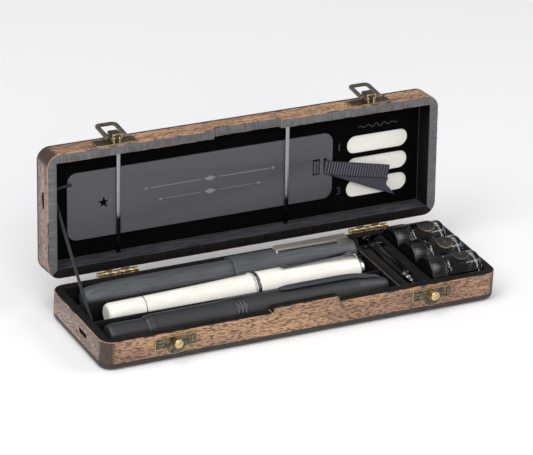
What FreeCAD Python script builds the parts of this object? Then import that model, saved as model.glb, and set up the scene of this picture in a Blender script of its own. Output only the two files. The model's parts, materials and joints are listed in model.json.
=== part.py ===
"""Hinged wooden case for three fountain pens, three ink vials and a filling syringe.

The case is drawn closed and upright in millimetres, +X along its length, +Y towards the hinges and +Z up.
The origin is the centre of the underside. Everything on the lid is drawn in its closed place and then
swung about the hinge axis to the open rest pose, where the stay lace holds it.
"""
import math
import os

import FreeCAD
import Part

V = FreeCAD.Vector
X, Y, Z = V(1, 0, 0), V(0, 1, 0), V(0, 0, 1)

# ---- case -----------------------------------------------------------------------------------------
case_length = 190.0
case_width = 57.0           # the pens, vials and heights follow from it
wall = 4.25
panel = 3.3                 # bottom and top panels
corner_radius = 6.0
panel_round = 2.4           # round-over of a panel's outer edge
open_angle = 94.9           # where the stay lace stops the lid

tongue_width = 32.0         # tongue of the front wall, and the notch that takes it
tongue_height = 2.5
tongue_round = 1.2
tongue_gap = 0.3

slot_length = 8.0           # slots that the stay lace passes through
slot_height = 2.2
slot_from_rim = 5.4
slot_clear = 1.1            # a pen divider's face to the middle of the slots
lace_thickness = 0.8
lace_width = 1.8
lace_inset = 1.2            # from a side wall's inner face to the lace's middle

# ---- inside of the base ---------------------------------------------------------------------------
fit_gap = 0.2               # inserts to the walls around them
liner = 0.7                 # felt under the pens
divider = 1.0
divider_below_rim = 0.1
bay_board = 0.8             # board between pens and tools
tool_width = 16.3
tool_below_rim = 0.5
groove_radius = 3.2
vial_length = 25.65         # with its cap
vial_end_gap = 0.5
vial_side_gap = 0.15        # half the gap between two vials' caps
vial_cap_length = 8.0
vial_cap_step = 0.8         # cap's radius over the glass
vial_wall = 1.1
vial_foot = 2.0             # solid glass at a vial's closed end
neck_step = 0.9             # glass's radius over its neck
neck_gap = 0.7              # neck seen between the cap and the shoulder
cap_wall = 1.2
cradle_skin = 0.5           # wood left under a vial's cap
trough_gap = 0.15
cradle_rise = 5.7           # top of the cradle above the panel
label_radius = 4.3
label_thickness = 0.1
label_leans = (9, 15, -2)    # degrees that each vial is turned to the front

# ---- contents -------------------------------------------------------------------------------------
pen_side_gap = 0.4          # widest pen to the dividers
back_left_gap, back_right_gap, back_cap_length = 5.75, 0.8, 61.2
middle_left_gap, middle_right_gap, middle_cap_length = 9.45, 5.0, 55.0
front_left_gap, front_right_gap, button_length = 2.55, 0.8, 19.2
clip_rise = 2.1             # top of the middle pen's clip over its cap
head_room = 0.15            # that clip to the bands in the closed lid
button_gap = 0.1
pen_rest_gap = 0.15         # felt to the widest part of a pen
button_travel = 5.0

syringe_end_gap = 1.25      # tip of the syringe, which lies along Y, to the front wall
syringe_radius = 2.6
syringe_bore = 1.9
syringe_spare = 18.5        # inner width of the case over the barrel without its tip
syringe_tip = 8.0
syringe_end = 1.2           # end wall of the barrel, behind the tip
plunger_gap = 0.3
plunger_radius = 1.8
plunger_out = 6.5
plunger_travel = 5.0        # how far it can still be pushed in

# ---- inside of the lid ----------------------------------------------------------------------------
board = 1.3                 # liner board in the lid
card = 0.3                  # paper behind the board's windows
window_length, window_width, window_pitch = 31.0, 8.5, 10.4
window_from_end = 21.35     # windows' middle to the right wall
window_y = 3.2              # middle window
cover_left_gap = 8.15       # cover plate to the left wall
cover_window_gap = 7.9      # and to the windows
cover_side_gap = 8.75       # and to the front and rear walls
cover_thickness = 1.0
cover_gap = 0.2             # board to cover plate
cover_round = 4.5
star_from_end = 17.2
star_radius = 2.9
slot_from_end = 3.0         # plate's end to the slot that the ribbon comes out of
ribbon_slot = (1.4, 7.4)    # that slot's width and length
behind_slot = 3.8           # width of the slot beside it, where the ribbon shows behind the bridge
bridge, bridge_skin = 1.7, 0.5
band_width, band_thickness = 2.2, 0.5
band_from_ends = (23.9, 23.0)
band_gap = 0.3              # cover plate to band
ribbon_width, ribbon_thickness = 6.5, 0.45
ribbon_layer = 0.5          # from one tail's face to the other's
front_tail = (32.7, 12.0)   # length, and degrees towards the hinges
rear_tail = (37.5, 23.5)

# ---- hinges ---------------------------------------------------------------------------------------
hinge_from_ends = (32.6, 34.0)
hinge_length = 19.6
hinge_behind = 1.64         # axis behind the rear faces
hinge_above = 0.25          # axis above the parting plane
barrel_radius = 1.1
pin_radius = 0.6
pin_gap = 0.05
knuckles = 5
knuckle_gap = 0.12
leaf = 0.6
leaf_height = 7.6
hinge_screw_spread = 6.6

# ---- latches and catches --------------------------------------------------------------------------
latch_from_ends = (33.2, 33.4)
plate_width = 19.4
plate_height = 7.2
plate_thickness = 0.6
plate_from_rim = 0.5
latch_screw_spread = 6.9
ear_half, ear = 1.05, 0.6   # ears stand inside the lever's cheeks
lever_half, sheet = 2.3, 0.55
lever_length, lever_height = 5.5, 3.9
lever_pin_up, lever_pin_out = 2.0, 1.7   # from the plate's rim edge and its outer face
latch_pin_radius = 0.45
latch_pin_gap = 0.05
bail_pin_up, bail_pin_out = 3.0, 2.75
bail_pin_radius = 0.42
bail_half = 5.3             # half the bail's width
bail_strip = 2.0
bail_thickness = 0.9
bail_length = 11.6
bail_lift = 8.0             # degrees that the thrown-back bail stands off the lid
bail_round = 2.7
catch_width, catch_height = 19.6, 5.6
catch_below_rim = 1.6
catch_round = 5.6
stud_below_rim = 4.3
stud_neck, stud_head = 1.5, 2.1
stud_neck_length, stud_head_length = 1.9, 1.3

# ---- screws ---------------------------------------------------------------------------------------
screw_shank, screw_head = 0.7, 1.35
screw_length, screw_head_height = 3.2, 0.55
screw_gap = 0.05
recess_width, recess_depth = 0.35, 0.4

# ---- worked out -----------------------------------------------------------------------------------
half_length, half_width = case_length / 2, case_width / 2
inner_x, inner_y = half_length - wall, half_width - wall
floor = panel + liner

pen_pitch = (2 * inner_y + 0.1) / 3
vial_pitch = pen_pitch - 0.1
slot_y = -(pen_pitch - divider) / 2 + slot_clear
back_cap_radius = (pen_pitch - divider) / 2 - pen_side_gap
middle_cap_radius = back_cap_radius - 0.2
back_barrel_radius, middle_barrel_radius = back_cap_radius - 1.2, middle_cap_radius - 0.5
front_grip_radius = back_cap_radius - 0.8
front_barrel_radius, button_radius = front_grip_radius - 0.6, front_grip_radius - 1.8
vial_cap_radius = vial_pitch / 2 - vial_side_gap
vial_radius = vial_cap_radius - vial_cap_step
neck_radius = vial_radius - neck_step

# the closed height is what the middle pen and the lid's linings need over each other
pens_top = floor + pen_rest_gap + 2 * middle_cap_radius + clip_rise
lining = band_thickness + band_gap + cover_thickness + cover_gap + board + panel
rim = (pens_top + head_room + lining) / 2
axis_y, axis_z = half_width + hinge_behind, rim + hinge_above
ceiling = 2 * rim - panel
board_face = ceiling - board
cover_face = board_face - cover_gap

vial_end = inner_x - vial_end_gap
vial_start = vial_end - vial_length
tool_end = vial_start - vial_end_gap
bay_end = tool_end - tool_width - bay_board
vial_axis = panel + cradle_skin + vial_cap_radius
syringe_y = -inner_y + syringe_end_gap
syringe_length = 2 * inner_y - syringe_spare

back_start, back_end = -inner_x + back_left_gap, bay_end - back_right_gap
middle_start, middle_end = -inner_x + middle_left_gap, bay_end - middle_right_gap
front_start, front_end = -inner_x + front_left_gap, bay_end - front_right_gap
back_joint, middle_joint = back_end - back_cap_length, middle_end - middle_cap_length
front_shoulder = front_start + button_length

window_x = inner_x - window_from_end
cover_left = -inner_x + cover_left_gap
cover_right = window_x - window_length / 2 - cover_window_gap
cover_half_width = inner_y - cover_side_gap
star_x = cover_left + star_from_end
slot_x = cover_right - slot_from_end - ribbon_slot[0] / 2
bridge_x = slot_x - ribbon_slot[0] / 2 - bridge
band_places = (cover_left + band_from_ends[0], cover_right - band_from_ends[1])
hinge_places = (-half_length + hinge_from_ends[0], half_length - hinge_from_ends[1])
latch_places = (("left", -half_length + latch_from_ends[0]), ("right", half_length - latch_from_ends[1]))
parts = {}


def box(x0, x1, y0, y1, z0, z1):
    return Part.makeBox(x1 - x0, y1 - y0, z1 - z0, V(x0, y0, z0))


def rod(radius, start, along, length):
    return Part.makeCylinder(radius, length, start, along)


def slab(x0, x1, y0, y1, z0, z1, radius):
    """A box with round corners in plan."""
    body = box(x0, x1, y0, y1, z0, z1)
    upright = [e for e in body.Edges if abs(e.tangentAt(e.FirstParameter).z) > 0.9]
    return body.makeFillet(radius, upright)


def turned(profile, y, z):
    """A solid of revolution about the line along X at (y, z); profile is a list of (x, radius)."""
    points = [V(x, y, z + r) for x, r in profile]
    wire = Part.makePolygon(points + [points[0]])
    return Part.Face(wire).revolve(V(0, y, z), X, 360)


def tube(x0, x1, outer, inner, y, z):
    return rod(outer, V(x0, y, z), X, x1 - x0).cut(rod(inner, V(x0 - 1, y, z), X, x1 - x0 + 2))


def opened(shape):
    """Carries a piece drawn on the closed lid to the open rest pose."""
    shape = shape.copy()
    shape.rotate(V(0, axis_y, axis_z), X, -open_angle)
    return shape


def group(shapes):
    return Part.makeCompound(shapes)


def save(name, shape, on_lid=False):
    parts[name] = opened(shape) if on_lid else shape


def mirrored_up(shape):
    """The lid's copy of a piece of the base: mirrored in the parting plane."""
    return shape.mirror(V(0, 0, rim), Z)


# ---- screws ---------------------------------------------------------------------------------------
def screw(head_centre, into):
    """A countersunk screw with a cross recess, its head's flat face at head_centre."""
    shank = rod(screw_shank, head_centre, into, screw_length)
    head = Part.makeCone(screw_head, screw_shank, screw_head_height, head_centre, into)
    side = X
    other = into.cross(side)
    shape = shank.fuse(head)
    for a, b in ((side, other), (other, side)):
        bar = Part.makeBox(2 * screw_head, recess_width, 2 * recess_depth)
        matrix = FreeCAD.Matrix(a.x, b.x, into.x, 0, a.y, b.y, into.y, 0, a.z, b.z, into.z, 0, 0, 0, 0, 1)
        bar.translate(V(-screw_head, -recess_width / 2, -recess_depth))
        bar = bar.transformGeometry(matrix)
        bar.translate(head_centre)
        shape = shape.cut(bar)
    return shape


def screw_hole(head_centre, into):
    """What a screw takes out of the plate and the wood under it."""
    shank = rod(screw_shank + screw_gap, head_centre - into * 0.01, into, screw_length + screw_gap)
    head = Part.makeCone(screw_head + screw_gap, screw_shank + screw_gap, screw_head_height + screw_gap,
                         head_centre, into)
    return shank.fuse(head)


hinge_rows = [c + s * hinge_screw_spread for c in hinge_places for s in (-1, 0, 1)]
leaf_back = half_width + leaf
base_hinge_screws = [V(x, leaf_back, axis_z - barrel_radius - leaf_height / 2) for x in hinge_rows]
lid_hinge_screws = [V(x, leaf_back, axis_z + barrel_radius + leaf_height / 2) for x in hinge_rows]
plate_front = -half_width - plate_thickness
plate_low = rim + plate_from_rim
latch_screws = [V(c + s * latch_screw_spread, plate_front, plate_low + plate_height / 2)
                for _, c in latch_places for s in (-1, 1)]
stud_z = rim - stud_below_rim
catch_screws = [V(c + s * latch_screw_spread, plate_front, stud_z) for _, c in latch_places for s in (-1, 1)]


def drilled(shape, centres, into):
    for centre in centres:
        shape = shape.cut(screw_hole(centre, into))
    return shape


# ---- wooden shell ---------------------------------------------------------------------------------
def wall_ring(z0, z1):
    outer = slab(-half_length, half_length, -half_width, half_width, z0, z1, corner_radius)
    return outer.cut(box(-inner_x, inner_x, -inner_y, inner_y, z0 - 1, z1 + 1))


def mitre(side):
    """A prism that takes one mitred wall out of the ring of four."""
    reach = wall + 2.0
    a, b = half_length, half_width
    corners = {
        "front": [(-a, -b), (a, -b), (a - reach, -b + reach), (-a + reach, -b + reach)],
        "rear": [(-a, b), (-a + reach, b - reach), (a - reach, b - reach), (a, b)],
        "left": [(-a, -b), (-a + reach, -b + reach), (-a + reach, b - reach), (-a, b)],
        "right": [(a, -b), (a, b), (a - reach, b - reach), (a - reach, -b + reach)],
    }[side]
    points = [V(x, y, -5) for x, y in corners]
    return Part.Face(Part.makePolygon(points + [points[0]])).extrude(V(0, 0, 60))


def front_tongue(gap):
    """The tongue on the front wall, or with a gap what the lid's notch takes out."""
    half = tongue_width / 2 + gap
    shape = box(-half, half, -half_width, -inner_y, rim, rim + tongue_height + gap)
    top = [e for e in shape.Edges
           if abs(e.tangentAt(e.FirstParameter).y) > 0.9 and e.BoundBox.ZMin > rim + 0.1]
    return shape.makeFillet(tongue_round, top)


def lace_slot(z):
    half = slot_length / 2 - slot_height / 2
    body = box(-half_length - 1, -inner_x + 1, slot_y - half, slot_y + half, z - slot_height / 2,
               z + slot_height / 2)
    for y in (slot_y - half, slot_y + half):
        body = body.fuse(rod(slot_height / 2, V(-half_length - 1, y, z), X, wall + 2))
    return body.removeSplitter()


def edge_panel():
    """The bottom panel, flush with the walls, its lower edge rounded over."""
    shape = slab(-half_length, half_length, -half_width, half_width, 0, panel, corner_radius)
    return shape.makeFillet(panel_round, [e for e in shape.Edges if e.BoundBox.ZMax < 0.01])


def build_shell():
    ring = wall_ring(panel, rim)
    walls = {side: ring.common(mitre(side)) for side in ("front", "rear", "left", "right")}
    lid_walls = {side: mirrored_up(shape) for side, shape in walls.items()}
    into_front, into_rear = Y, V(0, -1, 0)

    base_front = walls["front"].fuse(front_tongue(0)).removeSplitter()
    save("base_front_wall", drilled(base_front.cut(stud_hole()), catch_screws, into_front))
    save("base_rear_wall", drilled(walls["rear"], base_hinge_screws, into_rear))
    save("base_left_wall", walls["left"].cut(lace_slot(rim - slot_from_rim)))
    save("base_right_wall", walls["right"])
    save("base_bottom_panel", edge_panel())

    lid_front = lid_walls["front"].cut(front_tongue(tongue_gap))
    save("lid_front_wall", drilled(lid_front, latch_screws, into_front), True)
    save("lid_rear_wall", drilled(lid_walls["rear"], lid_hinge_screws, into_rear), True)
    save("lid_left_wall", lid_walls["left"].cut(lace_slot(rim + slot_from_rim)), True)
    save("lid_right_wall", lid_walls["right"], True)
    save("lid_top_panel", mirrored_up(edge_panel()), True)


# ---- inside of the base ---------------------------------------------------------------------------
def vial_rows():
    """Vial 1 lies at the back, vial 3 at the front."""
    return [(n + 1, (1 - n) * vial_pitch) for n in range(3)]


def build_inserts():
    side = inner_y - fit_gap
    save("pen_bay_liner", box(-inner_x + fit_gap, bay_end - fit_gap, -side, side, panel, floor))
    boards = []
    for s in (-1, 1):
        middle = s * pen_pitch / 2
        boards.append(box(-inner_x + fit_gap, bay_end, middle - divider / 2, middle + divider / 2,
                          floor, rim - divider_below_rim))
    save("pen_dividers", group(boards))
    save("bay_divider", box(bay_end, bay_end + bay_board, -side, side, panel, rim - divider_below_rim))

    top = rim - tool_below_rim
    block = box(bay_end + bay_board, tool_end, -side, side, panel, top)
    groove_end = syringe_y + syringe_tip + syringe_length + plunger_out + 2.6
    groove = rod(groove_radius, V(syringe_x(), syringe_y - 0.3, syringe_z()), Y, groove_end - syringe_y)
    clear = box(syringe_x() - groove_radius, syringe_x() + groove_radius, syringe_y - 0.3,
                groove_end - 0.3, syringe_z(), top + 5)
    flange_y = syringe_y + syringe_tip + syringe_length
    wing = box(syringe_x() - 6.2, syringe_x() + 6.2, flange_y - 1.9, flange_y + 0.7, syringe_z() - 3.4,
               top + 5)
    save("tool_block", block.cut(groove).cut(clear).cut(wing))

    cradle = box(tool_end + fit_gap, inner_x - fit_gap, -side, side, panel, panel + cradle_rise)
    for _, y in vial_rows():
        cap_room = rod(vial_cap_radius + trough_gap, V(tool_end - 1, y, vial_axis), X,
                       vial_start + vial_cap_length + trough_gap - tool_end + 1)
        glass_room = rod(vial_radius + trough_gap, V(tool_end - 1, y, vial_axis), X, inner_x - tool_end + 2)
        cradle = cradle.cut(cap_room).cut(glass_room)
    save("vial_cradle", cradle)


# ---- contents -------------------------------------------------------------------------------------
def build_back_pen():
    y, r, c = pen_pitch, back_barrel_radius, back_cap_radius
    z = floor + c + pen_rest_gap
    save("back_pen_barrel", turned([
        (back_start, 0), (back_start, r - 2.4), (back_start + 1.6, r - 1.2), (back_start + 9, r - 0.3),
        (back_start + 24, r), (back_joint - 2, r), (back_joint - 2, c - 2.4), (back_joint + 26, c - 3),
        (back_joint + 26, 0)], y, z))
    cap = turned([
        (back_joint, 0), (back_joint, c - 0.3), (back_joint + 0.4, c), (back_end - 12, c - 0.2),
        (back_end - 1.2, c - 1.2), (back_end, c - 2.6), (back_end, 0)], y, z)
    inside = turned([(back_joint - 1, 0), (back_joint - 1, c - 2.3), (back_joint + 26.3, c - 2.9),
                     (back_joint + 26.3, 0)], y, z)
    save("back_pen_cap", cap.cut(inside))
    # a flat folded clip, 3.6 wide, that rises from the cap near its end and lies along it
    strip = box(back_end - 40.2, back_end - 4.0, y - 1.8, y + 1.8, z + c + 0.8, z + c + 1.4)
    foot = box(back_end - 9.0, back_end - 4.0, y - 1.8, y + 1.8, z + c - 0.1, z + c + 0.8)
    ball = rod(0.7, V(back_end - 39.2, y - 1.2, z + c + 0.9), Y, 2.4)
    save("back_pen_clip", strip.fuse(foot).fuse(ball).removeSplitter())


def build_middle_pen():
    y, r, c = 0.0, middle_barrel_radius, middle_cap_radius
    z = floor + c + pen_rest_gap
    bare = middle_joint - middle_start
    save("middle_pen_barrel", turned([
        (middle_start, 0), (middle_start, r - 3.0), (middle_start + 1.4, r - 1.7),
        (middle_start + 0.27 * bare, r - 1.35), (middle_start + 0.7 * bare, r - 0.6),
        (middle_joint - 0.2, r),
        (middle_joint - 0.2, r - 1.4), (middle_joint + 26, r - 2.2), (middle_joint + 26, 0)], y, z))
    cap = turned([
        (middle_joint, 0), (middle_joint, c), (middle_end - 14, c - 0.1), (middle_end - 3.2, c - 0.9),
        (middle_end - 3.2, 0)], y, z)
    inside = turned([(middle_joint - 1, 0), (middle_joint - 1, r - 1.3), (middle_joint + 26.3, r - 2.1),
                     (middle_joint + 26.3, 0)], y, z)
    cap = cap.cut(inside)
    rings = [tube(x, x + w, c + 0.12, c - 0.5, y, z) for x, w in (
        (middle_joint + 0.2, 0.4), (middle_joint + 0.9, 1.8))]
    for ring in rings:
        cap = cap.cut(ring)
    crown = turned([(middle_end - 3.2, 0), (middle_end - 3.2, c - 1.6), (middle_end - 0.8, c - 1.9),
                    (middle_end, c - 3.6), (middle_end, 0)], y, z)
    save("middle_pen_cap", cap)
    save("middle_pen_rings", group(rings + [crown]))
    # a curved clip: it leaves the cap by the crown, arches and comes down to its upturned tip
    half, tip = 1.5, middle_end - 38.8
    arch = [(middle_end - 5.6, c - 0.75), (middle_end - 6.6, c + 1.4), (middle_end - 16, c + 1.0),
            (tip + 1.2, c + 0.2), (tip, c + 1.0), (tip + 0.8, c + 1.5), (tip + 4.8, c + 1.0),
            (middle_end - 16, c + 1.7), (middle_end - 5.6, c + clip_rise), (middle_end - 3.6, c - 0.75)]
    points = [V(x, y - half, z + r0) for x, r0 in arch]
    clip = Part.Face(Part.makePolygon(points + [points[0]])).extrude(V(0, 2 * half, 0))
    clip = clip.cut(rod(c + 0.02, V(0, y, z), X, middle_end))
    save("middle_pen_clip", clip)


def build_front_pen():
    y, r, g = -pen_pitch, front_barrel_radius, front_grip_radius
    z = floor + g + pen_rest_gap
    push = front_shoulder
    outer = turned([
        (push, 0), (push, r - 1.2), (push + 0.8, r - 0.6), (push + 7, r - 0.2), (push + 36, r + 0.1),
        (push + 42, g), (front_end - 14, g), (front_end - 1.0, g - 3.4), (front_end, g - 4.4),
        (front_end, 0)], y, z)
    bore = rod(button_radius + button_gap, V(push - 1, y, z), X, button_travel + 5)
    rings = [tube(push + x, push + x + 1.1, g + 0.1, g - 0.5, y, z) for x in (42.1, 43.85, 45.6)]
    outer = outer.cut(bore)
    for ring in rings:
        outer = outer.cut(ring)
    save("front_pen_barrel", outer)
    save("front_pen_rings", group(rings))
    save("front_pen_button", turned([
        (front_start, 0), (front_start, button_radius - 1.0), (front_start + 0.8, button_radius - 0.2),
        (push + 3, button_radius), (push + 3, 0)], y, z))
    # a blade clip along the top of the nib end
    low, high = z + g + 0.5, z + g + 1.7
    blade = box(front_end - 51.2, front_end - 13.2, y - 1.7, y + 1.7, low, high)
    blade = blade.makeFillet(0.9, [e for e in blade.Edges
                                   if abs(e.tangentAt(e.FirstParameter).z) > 0.9
                                   and e.BoundBox.XMax < front_end - 50])
    foot = box(front_end - 20, front_end - 13.2, y - 1.7, y + 1.7, z + g - 1.2, low)
    foot = foot.cut(outer)
    save("front_pen_clip", blade.fuse(foot).removeSplitter())


def build_vials():
    for n, y in vial_rows():
        x0, x1 = vial_start, vial_end
        cap_end = x0 + vial_cap_length
        shoulder = cap_end + neck_gap
        glass = turned([
            (x0 + cap_wall + 0.3, 0), (x0 + cap_wall + 0.3, neck_radius), (shoulder, neck_radius),
            (shoulder + 0.8, vial_radius), (x1 - 0.5, vial_radius), (x1, vial_radius - 0.5), (x1, 0)],
            y, vial_axis)
        hollow = turned([
            (x0 + cap_wall - 1, 0), (x0 + cap_wall - 1, neck_radius - vial_wall),
            (shoulder + 0.6, neck_radius - vial_wall), (shoulder + 1.4, vial_radius - vial_wall),
            (x1 - vial_foot, vial_radius - vial_wall), (x1 - vial_foot, 0)], y, vial_axis)
        save(f"vial_{n}_glass", glass.cut(hollow))
        save(f"vial_{n}_cap", turned([
            (x0, 0), (x0, vial_cap_radius - 0.5), (x0 + 0.5, vial_cap_radius), (cap_end, vial_cap_radius),
            (cap_end, neck_radius + pin_gap), (x0 + cap_wall, neck_radius + pin_gap), (x0 + cap_wall, 0)],
            y, vial_axis))
        skin = tube(x0, x1, vial_radius + 0.02 + label_thickness, vial_radius + 0.02, y, vial_axis)
        middle = (shoulder + x1) / 2
        disc = rod(label_radius, V(middle, y, vial_axis), label_out(n), vial_radius + 3)
        save(f"vial_{n}_label", skin.common(disc))


def label_out(n):
    """The way a vial's label faces: up, and leaning to the front."""
    lean = math.radians(label_leans[n - 1])
    return V(0, -math.sin(lean), math.cos(lean))


def syringe_x():
    return bay_end + bay_board + tool_width / 2


def syringe_z():
    return rim - tool_below_rim - 0.9


def build_syringe():
    x, z = syringe_x(), syringe_z()
    tip = V(x, syringe_y, z)
    tube_start = V(x, syringe_y + syringe_tip, z)
    shell = rod(syringe_radius, tube_start, Y, syringe_length)
    nozzle = Part.makeCone(0.9, 1.3, syringe_tip + 0.5, tip, Y)
    flange = box(x - 5.6, x + 5.6, tube_start.y + syringe_length - 1.2, tube_start.y + syringe_length,
                 z - 2.8, z + 2.8)
    flange = flange.common(rod(5.6, tube_start, Y, syringe_length + 1))
    bore = rod(syringe_bore, V(x, tube_start.y + syringe_end, z), Y, syringe_length + 2)
    needle = rod(0.45, V(x, syringe_y - 1, z), Y, syringe_tip + 4)
    save("syringe_barrel", shell.fuse(nozzle).fuse(flange).cut(bore).cut(needle).removeSplitter())
    start = tube_start.y + syringe_end + plunger_travel + plunger_gap
    end = tube_start.y + syringe_length
    stem = rod(plunger_radius, V(x, start, z), Y, 3.4)
    stem = stem.fuse(rod(1.1, V(x, start, z), Y, end - start + plunger_out))
    stem = stem.fuse(rod(2.6, V(x, end + plunger_out, z), Y, 1.2))
    save("syringe_plunger", stem.removeSplitter())


# ---- inside of the lid ----------------------------------------------------------------------------
def pill(x, y, length, width, z0, z1):
    return slab(x - length / 2, x + length / 2, y - width / 2, y + width / 2, z0, z1, width / 2 - 0.01)


def star(x, y, z0, z1):
    """A five-pointed star whose point is towards the hinges' side of the lid."""
    points = []
    for n in range(10):
        reach = star_radius if n % 2 == 0 else star_radius * 0.382
        turn = math.radians(-90 + 36 * n)
        points.append(V(x + reach * math.cos(turn), y + reach * math.sin(turn), z0))
    return Part.Face(Part.makePolygon(points + [points[0]])).extrude(V(0, 0, z1 - z0))


def build_lid_inside():
    side_x, side_y = inner_x - fit_gap, inner_y - fit_gap
    face = box(-side_x, side_x, -side_y, side_y, board_face, ceiling)
    for n in (-1, 0, 1):
        face = face.cut(pill(window_x, window_y + n * window_pitch, window_length, window_width,
                             board_face - 1, ceiling - card))
    pocket = box(window_x - window_length / 2 - 2, window_x + window_length / 2 + 2,
                 window_y - window_pitch - window_width, window_y + window_pitch + window_width - 2,
                 ceiling - card, ceiling + 1)
    save("lid_liner_board", face.cut(pocket), True)
    save("sample_card", box(window_x - window_length / 2 - 1.8, window_x + window_length / 2 + 1.8,
                            window_y - window_pitch - window_width + 0.2,
                            window_y + window_pitch + window_width - 2.2, ceiling - card, ceiling), True)

    low = cover_face - cover_thickness
    plate = slab(cover_left, cover_right, -cover_half_width, cover_half_width, low, cover_face,
                 cover_round)
    plate = plate.cut(star(star_x, 0, low - 1, cover_face + 1))
    half = ribbon_slot[1] / 2
    for x0, x1, bottom in ((slot_x - ribbon_slot[0] / 2, slot_x + ribbon_slot[0] / 2, low - 1),
                           (bridge_x - behind_slot, bridge_x, low - 1),
                           (bridge_x - behind_slot, slot_x, low + bridge_skin)):
        plate = plate.cut(box(x0, x1, -half, half, bottom, cover_face + 1))
    save("cover_plate", plate, True)

    # the pull ribbon: behind the bridge and out of the slot, its two tails lying over the windows
    top = low - 0.1
    ribbon = box(slot_x - 0.3, slot_x + 0.3, -ribbon_width / 2, ribbon_width / 2,
                 top - ribbon_layer - ribbon_thickness, cover_face)
    ribbon = ribbon.fuse(box(bridge_x - behind_slot + 0.1, slot_x, -ribbon_width / 2, ribbon_width / 2,
                             cover_face - ribbon_thickness, cover_face))
    for (reach, lean), z in ((rear_tail, top), (front_tail, top - ribbon_layer)):
        tail = box(slot_x - 0.3, slot_x + reach, -ribbon_width / 2, ribbon_width / 2, z - ribbon_layer, z)
        tail.rotate(V(slot_x, 0, 0), Z, lean)
        ribbon = ribbon.fuse(tail)
    save("cover_ribbon", ribbon.removeSplitter(), True)

    bands = []
    z = low - band_gap
    for x in band_places:
        for_band = box(x - band_width / 2, x + band_width / 2, -side_y, side_y, z - band_thickness, z)
        for s in (-1, 1):
            y0, y1 = sorted((s * side_y, s * (side_y - 1.0)))
            for_band = for_band.fuse(box(x - band_width / 2, x + band_width / 2, y0, y1, z, board_face))
        bands.append(for_band.removeSplitter())
    save("retaining_bands", group(bands), True)


# ---- hinges ---------------------------------------------------------------------------------------
def knuckle_spans(centre, first):
    """The X stretches of one leaf's knuckles: every second one, from first."""
    pitch = hinge_length / knuckles
    start = centre - hinge_length / 2
    return [(start + n * pitch + knuckle_gap / 2, start + (n + 1) * pitch - knuckle_gap / 2)
            for n in range(first, knuckles, 2)]


def hinge_leaf(centre, first, bore):
    """A leaf on the base's rear face, hanging below the barrel."""
    top = axis_z - barrel_radius
    x0, x1 = centre - hinge_length / 2, centre + hinge_length / 2
    shape = box(x0, x1, half_width, half_width + leaf, top - leaf_height, top - 0.1)
    for a, b in knuckle_spans(centre, first):
        shape = shape.fuse(box(a, b, half_width, half_width + leaf, top - 1, top + leaf))
        shape = shape.fuse(box(a, b, half_width, axis_y, top, top + leaf))
        shape = shape.fuse(rod(barrel_radius, V(a, axis_y, axis_z), X, b - a))
    return shape.cut(rod(bore, V(x0 - 1, axis_y, axis_z), X, hinge_length + 2)).removeSplitter()


def build_hinges():
    into = V(0, -1, 0)
    base_leaves, lid_leaves, pins = [], [], []
    for centre in hinge_places:
        bore = pin_radius + pin_gap
        base_leaves.append(drilled(hinge_leaf(centre, 0, bore), base_hinge_screws, into))
        upper = hinge_leaf(centre, 1, bore).mirror(V(0, 0, axis_z), Z)
        lid_leaves.append(drilled(upper, lid_hinge_screws, into))
        pins.append(rod(pin_radius, V(centre - hinge_length / 2, axis_y, axis_z), X, hinge_length))
    save("hinge_base_leaves", group(base_leaves))
    save("hinge_lid_leaves", group(lid_leaves), True)
    save("hinge_pins", group(pins))
    save("hinge_base_screws", group([screw(c, into) for c in base_hinge_screws]))
    save("hinge_lid_screws", group([screw(c, into) for c in lid_hinge_screws]), True)


# ---- latches and catches --------------------------------------------------------------------------
def stud_hole():
    holes = [rod(stud_neck + screw_gap, V(c, -half_width - 0.1, stud_z), Y, 2.6) for _, c in latch_places]
    return holes[0].fuse(holes[1])


lever_axis = V(0, plate_front - lever_pin_out, plate_low + lever_pin_up)
bail_axis = V(0, plate_front - bail_pin_out, plate_low + bail_pin_up)


def at(centre, axis):
    return V(centre, axis.y, axis.z)


def latch_plate(centre):
    plate = slab_front(centre, plate_width, plate_low, plate_low + plate_height, 0.6)
    a = at(centre, lever_axis)
    for s in (-1, 1):
        x0 = centre + s * (ear_half + ear / 2) - ear / 2
        upright = box(x0, x0 + ear, a.y, plate_front + 0.3, a.z - 1.0, a.z + 1.0)
        upright = upright.fuse(rod(1.0, V(x0, a.y, a.z), X, ear))
        plate = plate.fuse(upright)
    plate = plate.cut(rod(latch_pin_radius + latch_pin_gap, V(centre - 4, a.y, a.z), X, 8))
    return drilled(plate.removeSplitter(), latch_screws, Y)


def slab_front(centre, width, z0, z1, radius):
    """A thin plate on the front face with round corners."""
    shape = box(centre - width / 2, centre + width / 2, plate_front, -half_width, z0, z1)
    across = [e for e in shape.Edges if abs(e.tangentAt(e.FirstParameter).y) > 0.9]
    return shape.makeFillet(radius, across)


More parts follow.
